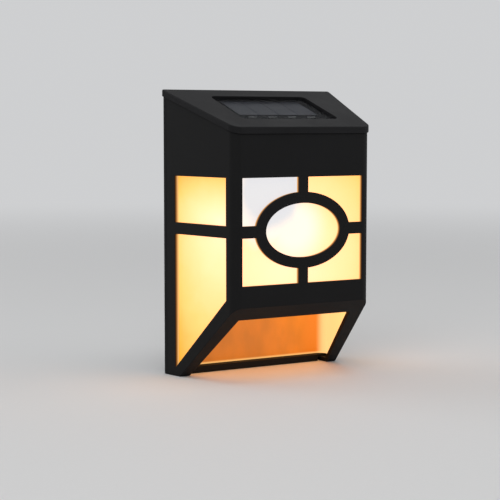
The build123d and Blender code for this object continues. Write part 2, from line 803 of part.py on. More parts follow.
coil_z = pcb_top + coil_radius + fit_gap
with BuildPart() as inductor:
    with BuildLine() as coil_lead:
        FilletPolyline(
            (coil_x - coil_span / 2, -part_row_y, pcb_top), (coil_x - coil_span / 2, -part_row_y, coil_z),
            (coil_x + coil_span / 2, -part_row_y, coil_z), (coil_x + coil_span / 2, -part_row_y, pcb_top),
            radius=2 * coil_wire,
        )
    with BuildSketch(Plane.XY.offset(pcb_top)):
        with Locations((coil_x - coil_span / 2, -part_row_y)):
            Circle(coil_wire)
    sweep(path=coil_lead.line)
    with Locations(Plane(origin=(coil_x, -part_row_y, coil_z), z_dir=(1, 0, 0))):
        Cylinder(coil_radius, coil_length)
    fillet(
        inductor.edges().filter_by(GeomType.CIRCLE).filter_by(lambda edge: edge.radius == coil_radius),
        radius=coil_radius / 3,
    )
inductor.part.label = "inductor"
export_step(inductor.part, "parts/inductor.step")

# Battery, its contacts and the coil spring behind its foot
with BuildPart() as battery_cell:
    with Locations(battery_axis.offset(cell_foot)):
        Cylinder(cell_radius, cell_body, align=(Align.CENTER, Align.CENTER, Align.MIN))
    fillet(battery_cell.edges().filter_by(GeomType.CIRCLE), radius=cell_radius / 10)
    with Locations(battery_axis.offset(cell_foot + cell_body)):
        Cylinder(nub_radius, nub_height, align=(Align.CENTER, Align.CENTER, Align.MIN))
battery_cell.part.label = "battery_cell"
export_step(battery_cell.part, "parts/battery_cell.step")

sleeve_start = cell_foot + cell_radius / 10
with BuildPart() as battery_sleeve:
    with BuildSketch(battery_axis.offset(sleeve_start)):
        Circle(battery_radius)
        Circle(cell_radius + sleeve_gap, mode=Mode.SUBTRACT)
    extrude(amount=cell_body - cell_radius / 5)
battery_sleeve.part.label = "battery_sleeve"
export_step(battery_sleeve.part, "parts/battery_sleeve.step")


def contact(plate_x):
    """Stand a tinned contact plate in the bay, square to the battery."""
    with BuildPart() as blade:
        with Locations((plate_x, -battery_y, tray_top)):
            Box(
                contact_stock, contact_width, contact_top - tray_top,
                align=(Align.CENTER, Align.CENTER, Align.MIN),
            )
    return blade.part


contact_x = bay_half - contact_stock / 2
spring_plate = contact(-contact_x)
spring_plate.label = "spring_plate"
export_step(spring_plate, "parts/spring_plate.step")
contact_plate = contact(contact_x)
contact_plate.label = "contact_plate"
export_step(contact_plate, "parts/contact_plate.step")

coil_start_x = -bay_half + contact_stock + spring_wire / 2
coil_run = cell_foot - spring_wire / 2 - coil_start_x
spring_line = biarc_coil(spring_radius, spring_turns, coil_run, Vector(coil_start_x, -battery_y, battery_z))
with BuildPart() as battery_spring:
    with BuildSketch(Plane(origin=spring_line @ 0, z_dir=spring_line % 0)):
        Circle(spring_wire / 2)
    sweep(path=spring_line)
print("spring gap", round(coil_run / spring_turns - spring_wire, 2))
battery_spring.part.label = "battery_spring"
export_step(battery_spring.part, "parts/battery_spring.step")

# Slide switch behind the back plate
switch_face = plate_front.offset(slide_gap)
knob_rest_x = -knob_travel / 2
with BuildPart() as switch_body:
    with BuildSketch(switch_face):
        with Locations((0, switch_z)):
            Rectangle(switch_length, switch_height)
    extrude(amount=switch_depth)
    with BuildSketch(switch_face):
        with Locations((0, switch_z)):
            Rectangle(knob_foot_length + knob_travel + 2 * fit_gap, knob_foot_height + 2 * fit_gap)
    extrude(amount=switch_pocket_depth, mode=Mode.SUBTRACT)
    with BuildSketch(switch_face.offset(switch_depth)):
        with Locations((-lug_x, switch_z), (lug_x, switch_z)):
            Rectangle(lug_size, lug_size)
    extrude(amount=lug_length)
switch_body.part.label = "switch_body"
export_step(switch_body.part, "parts/switch_body.step")

with BuildPart() as switch_knob:
    with BuildSketch(switch_face.offset(fit_gap)):
        with Locations((knob_rest_x, switch_z)):
            Rectangle(knob_foot_length, knob_foot_height)
    extrude(amount=knob_foot_thickness)
    with BuildSketch(wall_face.offset(knob_sink)):
        with Locations((knob_rest_x, switch_z)):
            Rectangle(knob_width, knob_height)
    extrude(amount=plate + slide_gap + fit_gap - knob_sink)
    with BuildSketch(wall_face.offset(knob_sink)):
        with Locations((knob_rest_x, switch_z)):
            with GridLocations(knob_width / 3, 0, 3, 1):
                Rectangle(knob_width / 9, knob_height)
    extrude(amount=grip_depth / 2, mode=Mode.SUBTRACT)
switch_knob.part.label = "switch_knob"
export_step(switch_knob.part, "parts/switch_knob.step")

# Screws
case_screw = screw(screw_radius, case_screw_length, screw_head_radius, screw_head_height)
lid_screw = screw(screw_radius, tray_thickness + screw_reach - fit_gap, screw_head_radius, screw_head_height)
board_screw = screw(pcb_screw_radius, pcb_screw_length, pcb_screw_head, pcb_screw_radius)

with BuildPart() as case_screws:
    for side_x in (-case_screw_x, case_screw_x):
        add(Plane(origin=(side_x, -counterbore_depth, case_screw_z), z_dir=(0, -1, 0)) * case_screw)
case_screws.part.label = "case_screws"
export_step(case_screws.part, "parts/case_screws.step")

with BuildPart() as lid_screws:
    for place in boss_places:
        add(Plane(origin=(*place, tray_bottom)) * lid_screw)
lid_screws.part.label = "lid_screws"
export_step(lid_screws.part, "parts/lid_screws.step")

with BuildPart() as board_screws:
    for place in standoff_places:
        add(Plane(origin=(*place, pcb_top), z_dir=(0, 0, -1)) * board_screw)
board_screws.part.label = "board_screws"
export_step(board_screws.part, "parts/board_screws.step")

# Leads from the panel, the battery and the switch
lug_tip_y = -plate - slide_gap - switch_depth - lug_length
fall_z = pcb_top + lead_fall
solar_pad_y = -pcb_rear_y - solar_pad_margin
for side, lead_name in ((-1, "solar_lead_black"), (1, "solar_lead_red")):
    leaving = well_plane.from_local_coords((side * lead_hole_x, lead_hole_y, 0))
    below = well_plane.from_local_coords((side * lead_hole_x, lead_hole_y, -well_floor - lead_start))
    pad_x = side * solar_pad_x
    solar_lead = lead([
        (leaving.X, leaving.Y, leaving.Z), (below.X, below.Y, below.Z),
        (pad_x, solar_pad_y, fall_z), (pad_x, solar_pad_y, pcb_top),
    ])
    solar_lead.label = lead_name
    export_step(solar_lead, f"parts/{lead_name}.step")

battery_pad_x = -pcb_length / 2 + battery_pad_margin
battery_lead_black = lead([
    (-contact_x, -battery_y, contact_top), (-contact_x, -battery_y, contact_top + lead_stub),
    (battery_pad_x - lead_stub / 2, -led_y + lead_bend, contact_top + lead_stub / 2),
    (battery_pad_x, -led_y, fall_z), (battery_pad_x, -led_y, pcb_top),
])
battery_lead_black.label = "battery_lead_black"
export_step(battery_lead_black, "parts/battery_lead_black.step")

battery_lead_red = lead([
    (contact_x, -battery_y, contact_top), (contact_x, -battery_y, contact_top + lead_stub),
    (switch_pad_x, -battery_y, switch_z - switch_height / 2),
    (lug_x, lug_tip_y - lead_stub, switch_z), (lug_x, lug_tip_y, switch_z),
])
battery_lead_red.label = "battery_lead_red"
export_step(battery_lead_red, "parts/battery_lead_red.step")

switch_pad_y = -pcb_rear_y - switch_pad_margin
switch_lead = lead([
    (-lug_x, lug_tip_y, switch_z), (-lug_x, lug_tip_y - lead_start, switch_z),
    (-(lug_x + switch_pad_x) / 2, -switch_lead_reach, switch_z - lead_bend),
    (-switch_pad_x, switch_pad_y, fall_z), (-switch_pad_x, switch_pad_y, pcb_top),
])
switch_lead.label = "switch_lead"
export_step(switch_lead, "parts/switch_lead.step")
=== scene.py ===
import math

import bmesh
import bpy
import numpy as np
from mathutils import Matrix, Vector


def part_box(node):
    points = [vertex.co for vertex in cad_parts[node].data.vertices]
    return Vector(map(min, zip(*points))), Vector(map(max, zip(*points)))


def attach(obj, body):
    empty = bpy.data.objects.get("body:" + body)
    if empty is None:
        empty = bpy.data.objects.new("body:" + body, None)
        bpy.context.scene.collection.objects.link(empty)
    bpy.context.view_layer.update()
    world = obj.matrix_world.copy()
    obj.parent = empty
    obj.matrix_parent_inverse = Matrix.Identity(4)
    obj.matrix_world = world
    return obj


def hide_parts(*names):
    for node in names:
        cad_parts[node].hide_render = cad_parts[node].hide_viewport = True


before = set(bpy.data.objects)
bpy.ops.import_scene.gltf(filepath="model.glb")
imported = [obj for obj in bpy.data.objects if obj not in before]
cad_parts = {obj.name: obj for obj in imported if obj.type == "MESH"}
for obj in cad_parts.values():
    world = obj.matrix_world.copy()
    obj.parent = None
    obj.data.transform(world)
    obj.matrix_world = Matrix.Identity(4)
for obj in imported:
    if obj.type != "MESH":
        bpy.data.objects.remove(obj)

bl_info = {
    "name": "Fence light surfaces",
    "version": (1, 0, 0),
    "blender": (4, 5, 0),
    "location": "3D View > Sidebar > Fence light",
    "description": "Dresses the packed solar fence light in soft edges, new surfaces and finishes",
    "category": "Object",
}

# The frame is in metres, with +Z up and +Y into the wall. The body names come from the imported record.
CASE, SWITCH, DOOR = "case", "switch", "door"
FLOOR_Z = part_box("housing")[0].z
TOP_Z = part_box("back_plate")[1].z


def length(label, words, value):
    """Describe one length that a user may change, in metres."""
    return bpy.props.FloatProperty(
        name=label, description=words, default=value, min=0.0, unit="LENGTH", precision=5
    )


def tint(label, words, value):
    """Describe one colour that a user may change, as linear red, green and blue."""
    return bpy.props.FloatVectorProperty(
        name=label, description=words, default=value, size=3, min=0.0, max=1.0, subtype="COLOR"
    )


def share(label, words, value, top=1.0):
    """Describe one plain number that a user may change."""
    return bpy.props.FloatProperty(name=label, description=words, default=value, min=0.0, max=top)


def bearing(label, words, degrees):
    """Describe one angle that a user may change."""
    return bpy.props.FloatProperty(
        name=label, description=words, default=math.radians(degrees), subtype="ANGLE"
    )


class FenceLightShape(bpy.types.PropertyGroup):
    """Sizes of the body that the new surfaces follow, the same as in the part's source."""

    back_width: length("Back width", "Width of the body at the wall", 0.1)
    front_width: length("Front width", "Width of the body at its front face", 0.079)
    depth: length("Depth", "Distance from the wall to the front face", 0.0545)
    roof_fall: length("Roof fall", "Drop of the roof from the wall to the front", 0.0187)
    mouth_rise: length("Mouth rise", "Height of the slanted mouth above the feet", 0.0384)
    foot_depth: length("Foot depth", "Depth of the feet from the wall", 0.013)
    wall: length("Wall", "Thickness of the housing's wall", 0.0022)
    sleeve_wall: length("Sleeve wall", "Thickness of the frosted sleeve", 0.0016)
    sleeve_inset: length("Sleeve inset", "Distance from the body's outside to the sleeve", 0.0025)
    front_corner: length("Front corner", "Radius of the body's front corners", 0.005)
    sleeve_corner: length("Sleeve corner", "Radius of the sleeve's rear corners", 0.005)
    edge_softness: length("Edge softness", "Width of the soft edge on moulded pieces", 0.00022)


class FenceLightFinish(bpy.types.PropertyGroup):
    """Colours of the finishes. Each glow is the sleeve's."""

    case_black: tint("Case black", "Moulded black of the body", (0.0042, 0.0042, 0.0045))
    # The roof's black is a little lighter than the body's: painted sheen for the upward roof, which catches
    # more light
    roof_black_painted_sheen: tint("Roof black", "Moulded black of the roof", (0.0062, 0.0062, 0.0070))
    dust: tint("Dust", "Outdoor dust on upward faces", (0.09, 0.083, 0.072))
    hot_white: tint("Hot white", "Glow in front of the lamps", (0.335, 0.357, 0.390))
    halo: tint("Halo", "Glow round that patch", (0.50, 0.45, 0.41))
    pale: tint("Pale", "Glow nearest the lamps", (1.0, 0.505, 0.38))
    cream: tint("Cream", "Glow of most of the sleeve", (0.93, 0.425, 0.205))
    honey: tint("Honey", "Glow some way from the lamps", (0.75, 0.325, 0.083))
    amber: tint("Amber", "Glow far from the lamps", (0.45, 0.190, 0.005))
    ember: tint("Ember", "Glow of the rear wall inside", (0.275, 0.058, 0.0))
    lining: tint("Lining", "Glow of the side walls inside", (0.60, 0.365, 0.125))
    sleeve_body: tint("Sleeve body", "Frosted plastic of the sleeve by day", (0.25, 0.155, 0.055))
    glow: share("Glow", "Strength of the sleeve's glow", 2.0, 20.0)
    sheen: share("Sheen", "Specular level of the black mouldings", 0.18)


class FenceLightStudio(bpy.types.PropertyGroup):
    """The floor, the lamps and the camera."""

    floor_tint: tint("Floor", "Pale floor", (0.80, 0.805, 0.81))
    sky_tint: tint("Background", "Pale background behind the floor", (0.62, 0.626, 0.636))
    sky_light: share("Sky light", "Strength of the light from all round", 0.32, 5.0)
    lamp_light: share("Lamp light", "Strength of the soft lamps", 1.0, 10.0)
    lens: share("Lens", "Focal length of the camera in millimetres", 103.8, 1000.0)
    azimuth: bearing("Azimuth", "How far the camera turns right of straight on", 30.84)
    drop: bearing("Drop", "How far the camera looks down", 5.09)
    stand: bpy.props.FloatVectorProperty(
        name="Camera place", description="Where the camera stands", default=(-0.3867, -0.6504, 0.0561),
        size=3, subtype="TRANSLATION",
    )


def side_lean(shape):
    """How far a side of the body comes out for each metre towards the wall."""
    return (shape.back_width - shape.front_width) / 2 / shape.depth


def scaled(colour, *changes):
    """Change a colour by one factor, or by one each for red, green and blue."""
    return tuple(np.multiply(colour, changes))


# Shapes

def rounded_path(points, radii, steps=4, closed=True, fill=0):
    """Round a polyline's corners with tangent arcs.

    With unit directions d1 into and d2 out of a corner and the turn t between them, the arc starts at the
    corner less d1 times radius times tan(t/2). At angle a it has gone radius * sin(a) along d1 and
    radius * (1 - cos(a)) along the part of d2 square to d1. Fill adds even points on a closed path's runs.
    """
    points = np.asarray(points, float)
    if closed:
        before, here, after = np.roll(points, 1, 0), points, np.roll(points, -1, 0)
    else:
        before, here, after = points[:-2], points[1:-1], points[2:]
    arriving = here - before
    arriving /= np.linalg.norm(arriving, axis=1)[:, None]
    leaving = after - here
    leaving /= np.linalg.norm(leaving, axis=1)[:, None]
    cosine = (arriving * leaving).sum(1)
    bend = np.arccos(np.clip(cosine, -1, 1))
    across = (leaving - cosine[:, None] * arriving) / np.sin(bend)[:, None]
    radii = np.broadcast_to(np.asarray(radii, float), bend.shape)
    angle = bend[:, None] * np.linspace(0, 1, steps + 1)
    start = here - arriving * (radii * np.tan(bend / 2))[:, None]
    arcs = start[:, None] + radii[:, None, None] * (
        np.sin(angle)[..., None] * arriving[:, None] + (1 - np.cos(angle))[..., None] * across[:, None]
    )
    if fill:
        ends, starts = arcs[:, -1:], np.roll(arcs[:, :1], -1, 0)
        along = np.linspace(0, 1, fill + 2)[1:-1, None]
        arcs = np.concatenate([arcs, ends + (starts - ends) * along], 1)
    path = arcs.reshape(-1, points.shape[1])
    return path if closed else np.vstack([points[:1], path, points[-1:]])


def placed(name, data):
    """Put a mesh, curve, lamp or camera into the scene as an object at the origin."""
    made = bpy.data.objects.new(name, data)
    bpy.context.scene.collection.objects.link(made)
    return made


def weld(mesh, distance, flat=0.0):
    """Merge points that are closer than a distance, and faces that turn by less than a flat angle."""
    work = bmesh.new()
    work.from_mesh(mesh)
    bmesh.ops.remove_doubles(work, verts=work.verts, dist=distance)
    if flat:
        bmesh.ops.dissolve_limit(work, angle_limit=flat, verts=work.verts, edges=work.edges)
    work.to_mesh(mesh)
    work.free()
    mesh.shade_smooth()


def surface(name, grids, wrap=(False, True)):
    """Make one mesh from equal grids of points, whose neighbours in rows and columns share a quad.

    Wrap joins the last row to the first, and the last column. Faces are turned outward by the sign of
    the volume, a sixth of the sum of a . (b x c) over triangles. Points that meet are merged.
    """
    grids = np.asarray(grids, float)
    if grids.ndim == 3:
        grids = grids[None]
    copies, rows, columns = grids.shape[:3]
    copy, row, column = np.indices((copies, rows - (not wrap[0]), columns - (not wrap[1])))
    base = copy * rows * columns
    next_row, next_column = (row + 1) % rows, (column + 1) % columns
    quads = np.stack([
        base + row * columns + column, base + row * columns + next_column,
        base + next_row * columns + next_column, base + next_row * columns + column,
    ], -1).reshape(-1, 4)
    points = grids.reshape(-1, 3)
    a, b, c, d = (points[quads[:, corner]] for corner in range(4))
    if (a * (np.cross(b, c) + np.cross(c, d))).sum() < 0:
        quads = quads[:, ::-1]
    mesh = bpy.data.meshes.new(name)
    mesh.from_pydata(points.tolist(), [], quads.tolist())
    weld(mesh, 1e-7)
    return placed(name, mesh)


def circle(sides):
    """Even angles, once round."""
    return np.linspace(0, 2 * np.pi, sides, endpoint=False)


def turned(profile, centre, axis="Z", segments=48):
    """Turn a profile of (radius r, distance h) round an axis: (r cos a, r sin a, h) from a centre."""
    angle = circle(segments)
    radius, along = profile[:, :1], np.repeat(profile[:, 1:], segments, 1)
    ring = [radius * np.cos(angle), radius * np.sin(angle)]
    return np.stack({"Z": [*ring, along], "X": [along, *ring]}[axis], -1) + centre


def tube(centre, tangent, normal, radius, sides=12):
    """Carry a circle along a path: point + radius * (normal cos a + binormal sin a), closed by round caps.

    In a cap the circle shrinks as radius * cos(b) while it moves on by radius * sin(b).
    """
    bend = np.linspace(0, np.pi / 2, 5)[1:, None]
    path = np.vstack([
        centre[:1] - tangent[:1] * radius * np.sin(bend[::-1]), centre,
        centre[-1:] + tangent[-1:] * radius * np.sin(bend),
    ])
    size = radius * np.concatenate([np.cos(bend[::-1, 0]), np.ones(len(centre)), np.cos(bend[:, 0])])
    hold = len(bend)
    along, out = (np.pad(rows, ((hold, hold), (0, 0)), "edge") for rows in (tangent, normal))
    angle = circle(sides)[None, :, None]
    ring = out[:, None] * np.cos(angle) + np.cross(along, out)[:, None] * np.sin(angle)
    return path[:, None] + size[:, None, None] * ring


def dress(piece, body, material, slot=None, *nodes):
    """Give a new piece its finish, let it ride on its body and stand for its solids."""
    piece.data.materials.clear()
    piece.data.materials.append(material)
    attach(piece, body)
    if nodes:
        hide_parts(*nodes)


def coat(node, material):
    """Give a solid that is carried over its finish."""
    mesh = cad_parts[node].data
    mesh.materials.clear()
    mesh.materials.append(material)


def softened(name, node, width):
    """Copy a solid's mesh, weld it, and soften each edge sharper than 35 degrees with a narrow bevel."""
    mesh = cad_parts[node].data.copy()
    mesh.name = name
    weld(mesh, 2e-6, math.radians(0.3))
    piece = placed(name, mesh)
    edge = piece.modifiers.new("soft_edges", "BEVEL")
    edge.width, edge.segments = width, 2
    edge.limit_method, edge.angle_limit = "ANGLE", math.radians(35.0)
    edge.use_clamp_overlap = False
    even = piece.modifiers.new("even_shading", "WEIGHTED_NORMAL")
    even.keep_sharp = True
    return piece


# Nodes

def put(kind, inputs=None, tree=None, **settings):
    """Add a node to a tree, or else to the tree of its first linked input.

    Settings are its own choices, and each input is linked if it is a socket or else set.
    """
    inputs = inputs or {}
    linked = [key for key, value in inputs.items() if isinstance(value, bpy.types.NodeSocket)]
    tree = tree or inputs[linked[0]].id_data
    made = tree.nodes.new(kind)
    for key, value in settings.items():
        setattr(made, key, value)
    for key, value in inputs.items():
        if key in linked:
            tree.links.new(value, made.inputs[key])
        else:
            made.inputs[key].default_value = value
    return made


def maths(operation, first, second=0.0, third=0.0, clamp=False):
    """One step of arithmetic on sockets or numbers."""
    inputs = {0: first, 1: second, 2: third}
    return put("ShaderNodeMath", inputs, operation=operation, use_clamp=clamp).outputs[0]


def plus(first, second):
    """Sum of two sockets or numbers."""
    return maths("ADD", first, second)


def minus(first, second):
    """Difference of two sockets or numbers."""
    return maths("SUBTRACT", first, second)


def times(first, second):
    """Product of two sockets or numbers."""
    return maths("MULTIPLY", first, second)


def hypotenuse(first, second):
    """Square root of the sum of two squares."""
    return maths("SQRT", plus(times(first, first), times(second, second)))


def lopsided(value, above, below):
    """Size of a value, by one factor where it is above nought and by another where it is below."""
    return maths("MAXIMUM", times(value, above), times(value, -below))


def mixed(factor, first, second):
    """Blend two colours by a factor."""
    first, second = ((*value, 1.0) if isinstance(value, tuple) else value for value in (first, second))
    return put("ShaderNodeMix", {0: factor, 6: first, 7: second}, data_type="RGBA").outputs[2]


def band(value, low, high, start=0.0, end=1.0, how="SMOOTHSTEP"):
    """Carry a value from low..high to start..end, held outside, and smooth unless how is LINEAR."""
    inputs = {0: value, 1: low, 2: high, 3: start, 4: end}
    return put("ShaderNodeMapRange", inputs, interpolation_type=how).outputs[0]


def fade(value, low, high):
    """One below low, nought above high, and smooth between them."""
    return band(value, low, high, 1.0, 0.0)


def ramp(factor, *stops):
    """Read a colour off a row of (place, colour) stops."""
    made = put("ShaderNodeValToRGB", {0: factor})
    elements = made.color_ramp.elements
    while len(elements) < len(stops):
        elements.new(0.5)
    for element, (place, colour) in zip(elements, stops):
        element.position, element.color = place, (*colour, 1.0)
    return made.outputs[0]


def clouds(coords, scale, detail=3.0, rough=0.5, warp=0.0):
    """Noise with about scale features to the metre."""
    inputs = {"Vector": coords, "Scale": scale, "Detail": detail, "Roughness": rough, "Distortion": warp}
    return put("ShaderNodeTexNoise", inputs).outputs[0]


def laid(coords, scale=(1, 1, 1), turn=(0, 0, 0), shift=(0, 0, 0)):
    """Stretch, turn and move a pattern on its piece."""
    inputs = {"Vector": coords, "Scale": scale, "Rotation": turn, "Location": shift}
    return put("ShaderNodeMapping", inputs).outputs[0]


def far(coords, scale=(1, 1, 1), shift=(0, 0, 0)):
    """Length of scale * place + shift: the distance from the point that shift brings to the origin."""
    moved = laid(coords, scale, shift=shift)
    return put("ShaderNodeVectorMath", {0: moved}, operation="LENGTH").outputs["Value"]


def parts(vector):
    """The X, Y and Z of a vector."""
    return put("ShaderNodeSeparateXYZ", {0: vector}).outputs


def facing(coords):
    """The X, Y and Z of the normal, from the node that gives the coordinates."""
    return parts(coords.node.outputs["Normal"])


def started(name, **sockets):
    """Start a material: its shader, with plain values set on its own sockets, and Object coordinates."""
    material = bpy.data.materials.new(name)
    material.use_nodes = True
    tree = material.node_tree
    shader = tree.nodes["Principled BSDF"]
    for key, value in sockets.items():
        shader.inputs[key.replace("_", " ")].default_value = value
    return material, shader, put("ShaderNodeTexCoord", tree=tree).outputs["Object"]


def feed(node, **patterns):
    """Link patterns to a node's inputs, which are named with _ for a space."""
    for key, pattern in patterns.items():
        node.id_data.links.new(pattern, node.inputs[key.replace("_", " ")])


def bumped(shader, height, distance, strength):
    """Raise the surface by a height pattern, distance metres at most."""
    inputs = {"Height": height, "Distance": distance, "Strength": strength}
    feed(shader, Normal=put("ShaderNodeBump", inputs).outputs[0])


def shared(end, factor, first, second):
    """Blend two shaders by a factor and send the blend to the tree's end."""
    both = put("ShaderNodeMixShader", {0: factor, 1: first.outputs[0], 2: second.outputs[0]})
    feed(both.id_data.nodes[end], Surface=both.outputs[0])


def sighted(tree):
    """One for rays that the camera sends or that reach it off metal or through glass, else nought."""
    path = put("ShaderNodeLightPath", tree=tree).outputs
    mirrored = maths("MAXIMUM", path["Is Glossy Ray"], path["Is Transmission Ray"])
    return maths("MAXIMUM", path["Is Camera Ray"], mirrored)


# Finishes that several pieces share

def moulded_black(name, colour, dust, settle, sheen, gloss=0.0):
    """Spark-textured black plastic: fine grain, slow changes of sheen, faint rubs, dust on upward faces."""
    material, shader, coords = started(name, Specular_IOR_Level=sheen, IOR=1.45)
    grain = clouds(coords, 2600.0, 2.0, 0.6)
    slow = clouds(coords, 42.0, 4.0, 0.55)
    speck = clouds(coords, 900.0, 5.0, 0.7)
    rubs = clouds(laid(coords, (60.0, 9.0, 420.0), (0.5, 0.3, 0.2)), 6.0, 3.0, 0.6)
    lighter = tuple(min(1.0, part * 1.55 + 0.0012) for part in colour)
    plain = ramp(slow, (0.3, colour), (0.72, lighter))
    upward = times(band(facing(coords)["Z"], 0.35, 1.0), settle)
    dusty = times(upward, band(speck, 0.42, 0.78))
    dusty = maths("MULTIPLY", dusty, band(slow, 0.25, 0.7, 0.35, 1.0), clamp=True)
    worn = plus(band(slow, 0.25, 0.75, 0.56 - gloss, 0.68 - gloss), band(rubs, 0.6, 0.8, 0.0, -0.08))
    rough = maths("ADD", worn, times(dusty, 0.3), clamp=True)
    feed(shader, Base_Color=mixed(dusty, plain, dust), Roughness=rough)
    bumped(shader, plus(grain, times(rubs, 0.25)), 0.000045, 0.55)
    return material, shader, coords


def tinned(name, scale, rough, colour=(0.62, 0.62, 0.60)):
    """Tinned or plated metal: slow dull patches over fine drawn lines."""
    material, shader, coords = started(name, Metallic=1.0)
    dull = clouds(coords, scale, 4.0, 0.6)
    drawn = clouds(laid(coords, (1.0, 14.0, 14.0)), scale * 1.5, 2.0, 0.6)
    tone = ramp(dull, (0.3, scaled(colour, 0.7)), (0.65, colour))
    feed(shader, Base_Color=tone, Roughness=band(dull, 0.3, 0.7, rough + 0.16, rough))
    bumped(shader, drawn, 0.000012, 0.4)
    return material


def tinted_plastic(name, colour, rough, scale=2000.0, depth=0.00003):
    """Plain coloured plastic with a fine grain and slow changes of tone."""
    material, shader, coords = started(name)
    slow = clouds(coords, 50.0, 4.0, 0.55)
    tone = ramp(slow, (0.3, scaled(colour, 0.86)), (0.7, colour))
    feed(shader, Base_Color=tone, Roughness=band(slow, 0.25, 0.75, rough - 0.05, rough + 0.08))
    bumped(shader, clouds(coords, scale, 2.0, 0.6), depth, 0.5)
    return material


# Operators

class FENCELIGHT_OT_sleeve(bpy.types.Operator):
    """Build the frosted sleeve that glows behind the windows"""

    bl_idname = "fence_light.sleeve"
    bl_label = "Frosted sleeve"

    def execute(self, context):
        """The wall's outline goes round its own section: up the outside, over, down the inside, under.

        Across goes from 0 outside to 1 inside, up from 0 below to 1 above, and over adds half-round edges.
        """
        shape, finish = context.scene.fence_light_shape, context.scene.fence_light_finish
        low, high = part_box("diffuser")
        lean, wall = math.atan(side_lean(shape)), shape.sleeve_wall
        loops = []
        for inset, rear, corner in (
            (shape.sleeve_inset, high.y, shape.sleeve_corner),
            (shape.sleeve_inset + wall, high.y - wall, shape.sleeve_corner - wall),
        ):
            front = inset - shape.depth
            half = shape.back_width / 2 + np.array([front, rear]) * math.tan(lean) - inset / math.cos(lean)
            plan = [(-half[0], front), (half[0], front), (half[1], rear), (-half[1], rear)]
            front_corner = shape.front_corner - inset
            loops.append(rounded_path(plan, [front_corner] * 2 + [corner] * 2, steps=8, fill=46))
        outer, inner = loops
        climbs, edge = 26, wall / 2
        climb, sweep = np.linspace(0, 1, climbs), np.linspace(0, np.pi, 9)
        below, above, level = np.zeros(climbs), np.ones(climbs), np.ones_like(sweep)
        across = np.concatenate([below, (1 - np.cos(sweep)) / 2, above, (1 + np.cos(sweep)) / 2])
        up = np.concatenate([climb, level, climb[::-1], 0 * level])
        over = np.concatenate([below, edge * np.sin(sweep), below, -edge * np.sin(sweep)])
        plan = outer[:, None] + across[None, :, None] * (inner - outer)[:, None]
        slope = shape.mouth_rise / (shape.depth - shape.foot_depth)
        mouth = FLOOR_Z + (-shape.foot_depth - plan[..., 1]) * slope
        bottom = np.maximum(mouth + shape.sleeve_inset * math.hypot(1, slope), low.z)
        height = (bottom + edge) * (1 - up) + (high.z - edge) * up + over
        sleeve = surface("frosted_sleeve", np.concatenate([plan, height[..., None]], -1), (True, True))
        dress(sleeve, CASE, self.frost(finish), "frosted_amber", "diffuser")
        return {"FINISHED"}

    def frost(self, finish):
        """Frosted amber plastic whose glow is painted light, in one way towards the windows and in another
        inside.
        """
        material, shader, coords = started("frosted_sleeve", Emission_Strength=finish.glow)
        mottle = clouds(coords, 70.0, 4.0, 0.55, 0.4)
        silk = clouds(coords, 1500.0, 3.0, 0.6)
        glow = self.window_glow(finish, coords, times(minus(mottle, 0.5), 0.010))
        glow = self.chamber_glow(finish, coords, glow)
        body = tuple(finish.sleeve_body)
        tone = ramp(mottle, (0.3, scaled(body, 0.93)), (0.7, body))
        feed(shader, Emission_Color=glow, Base_Color=tone, Roughness=band(silk, 0.3, 0.7, 0.36, 0.5))
        bumped(shader, silk, 0.00003, 0.35)
        return material

    def window_glow(self, finish, coords, shake):
        """Glow behind the windows: whitest by the lamps, cream over most of it and amber far off."""
        here = parts(coords)
        ahead = band(maths("ABSOLUTE", facing(coords)["Y"]), 0.5, 0.8)
        # On the front the glow fades with the distance from a point left of and below the middle
        reach, bend = 0.060, 1.4
        front = plus(far(coords, (1, 0, 1), (0.010, 0.0, 0.012)), shake)
        front = maths("POWER", maths("DIVIDE", front, reach), bend)
        front = maths("MULTIPLY_ADD", front, 0.45, 0.25)
        # On the sides it fades towards the wall, faster upward than downward
        brightest_y, brightest_z, reach = -0.040, 0.008, 0.058
        climb = lopsided(minus(here["Z"], brightest_z), 1.9, 0.65)
        side = plus(hypotenuse(minus(here["Y"], brightest_y), climb), shake)
        side = maths("MULTIPLY_ADD", side, 0.8 / reach, 0.2)
        tone = put("ShaderNodeMix", {0: ahead, 2: side, 3: front}, data_type="FLOAT").outputs[0]
        stops = zip((0.0, 0.42, 0.7, 1.0), (finish.pale, finish.cream, finish.honey, finish.amber))
        glow = ramp(tone, *stops)
        # The lamps' direct light is painted as a soft oval patch high on the front
        lamps_x, squash = -0.0175, 0.95
        patch = plus(far(coords, (1.0, 1.0, squash), (-lamps_x, 0.0515, -0.0215)), shake)
        # Round the patch, and behind the middle of the oval, the glow is white too, but warmer
        beyond = lopsided(minus(here["X"], lamps_x), 1.35, 1.0)
        around = plus(hypotenuse(beyond, times(minus(here["Z"], 0.0226), squash)), shake)
        middle = far(coords, shift=(0.004, 0.0515, -0.004))
        halo = maths("MAXIMUM", fade(around, 0.0205, 0.030), fade(middle, 0.006, 0.022))
        glow = mixed(times(halo, ahead), glow, tuple(finish.halo))
        return mixed(fade(patch, 0.0132, 0.0212), glow, tuple(finish.hot_white))

    def chamber_glow(self, finish, coords, outside):
        """Glow inside: the lining's on the side walls, faintly streaked ember behind, a pale lower rim."""
        here, lining, ember = parts(coords), tuple(finish.lining), tuple(finish.ember)
        peach, deep = scaled(lining, 0.95, 0.83, 0.90), scaled(ember, 1.27, 1.10, 1.0)
        # Inward faces have a normal that points to the middle of the chamber
        inward = fade(times(here["X"], facing(coords)["X"]), -0.004, 0.0)
        sides = ramp(band(here["Y"], -0.046, -0.006), (0.0, lining), (1.0, peach))
        streaks = clouds(laid(coords, (1.0, 1.0, 0.55)), 75.0)
        behind = ramp(streaks, (0.34, scaled(ember, 0.76)), (0.62, ember))
        lift = band(here["X"], -0.020, 0.036, 0.92, 1.34, "LINEAR")
        lifted = put("ShaderNodeVectorMath", {0: behind, "Scale": lift}, operation="SCALE")
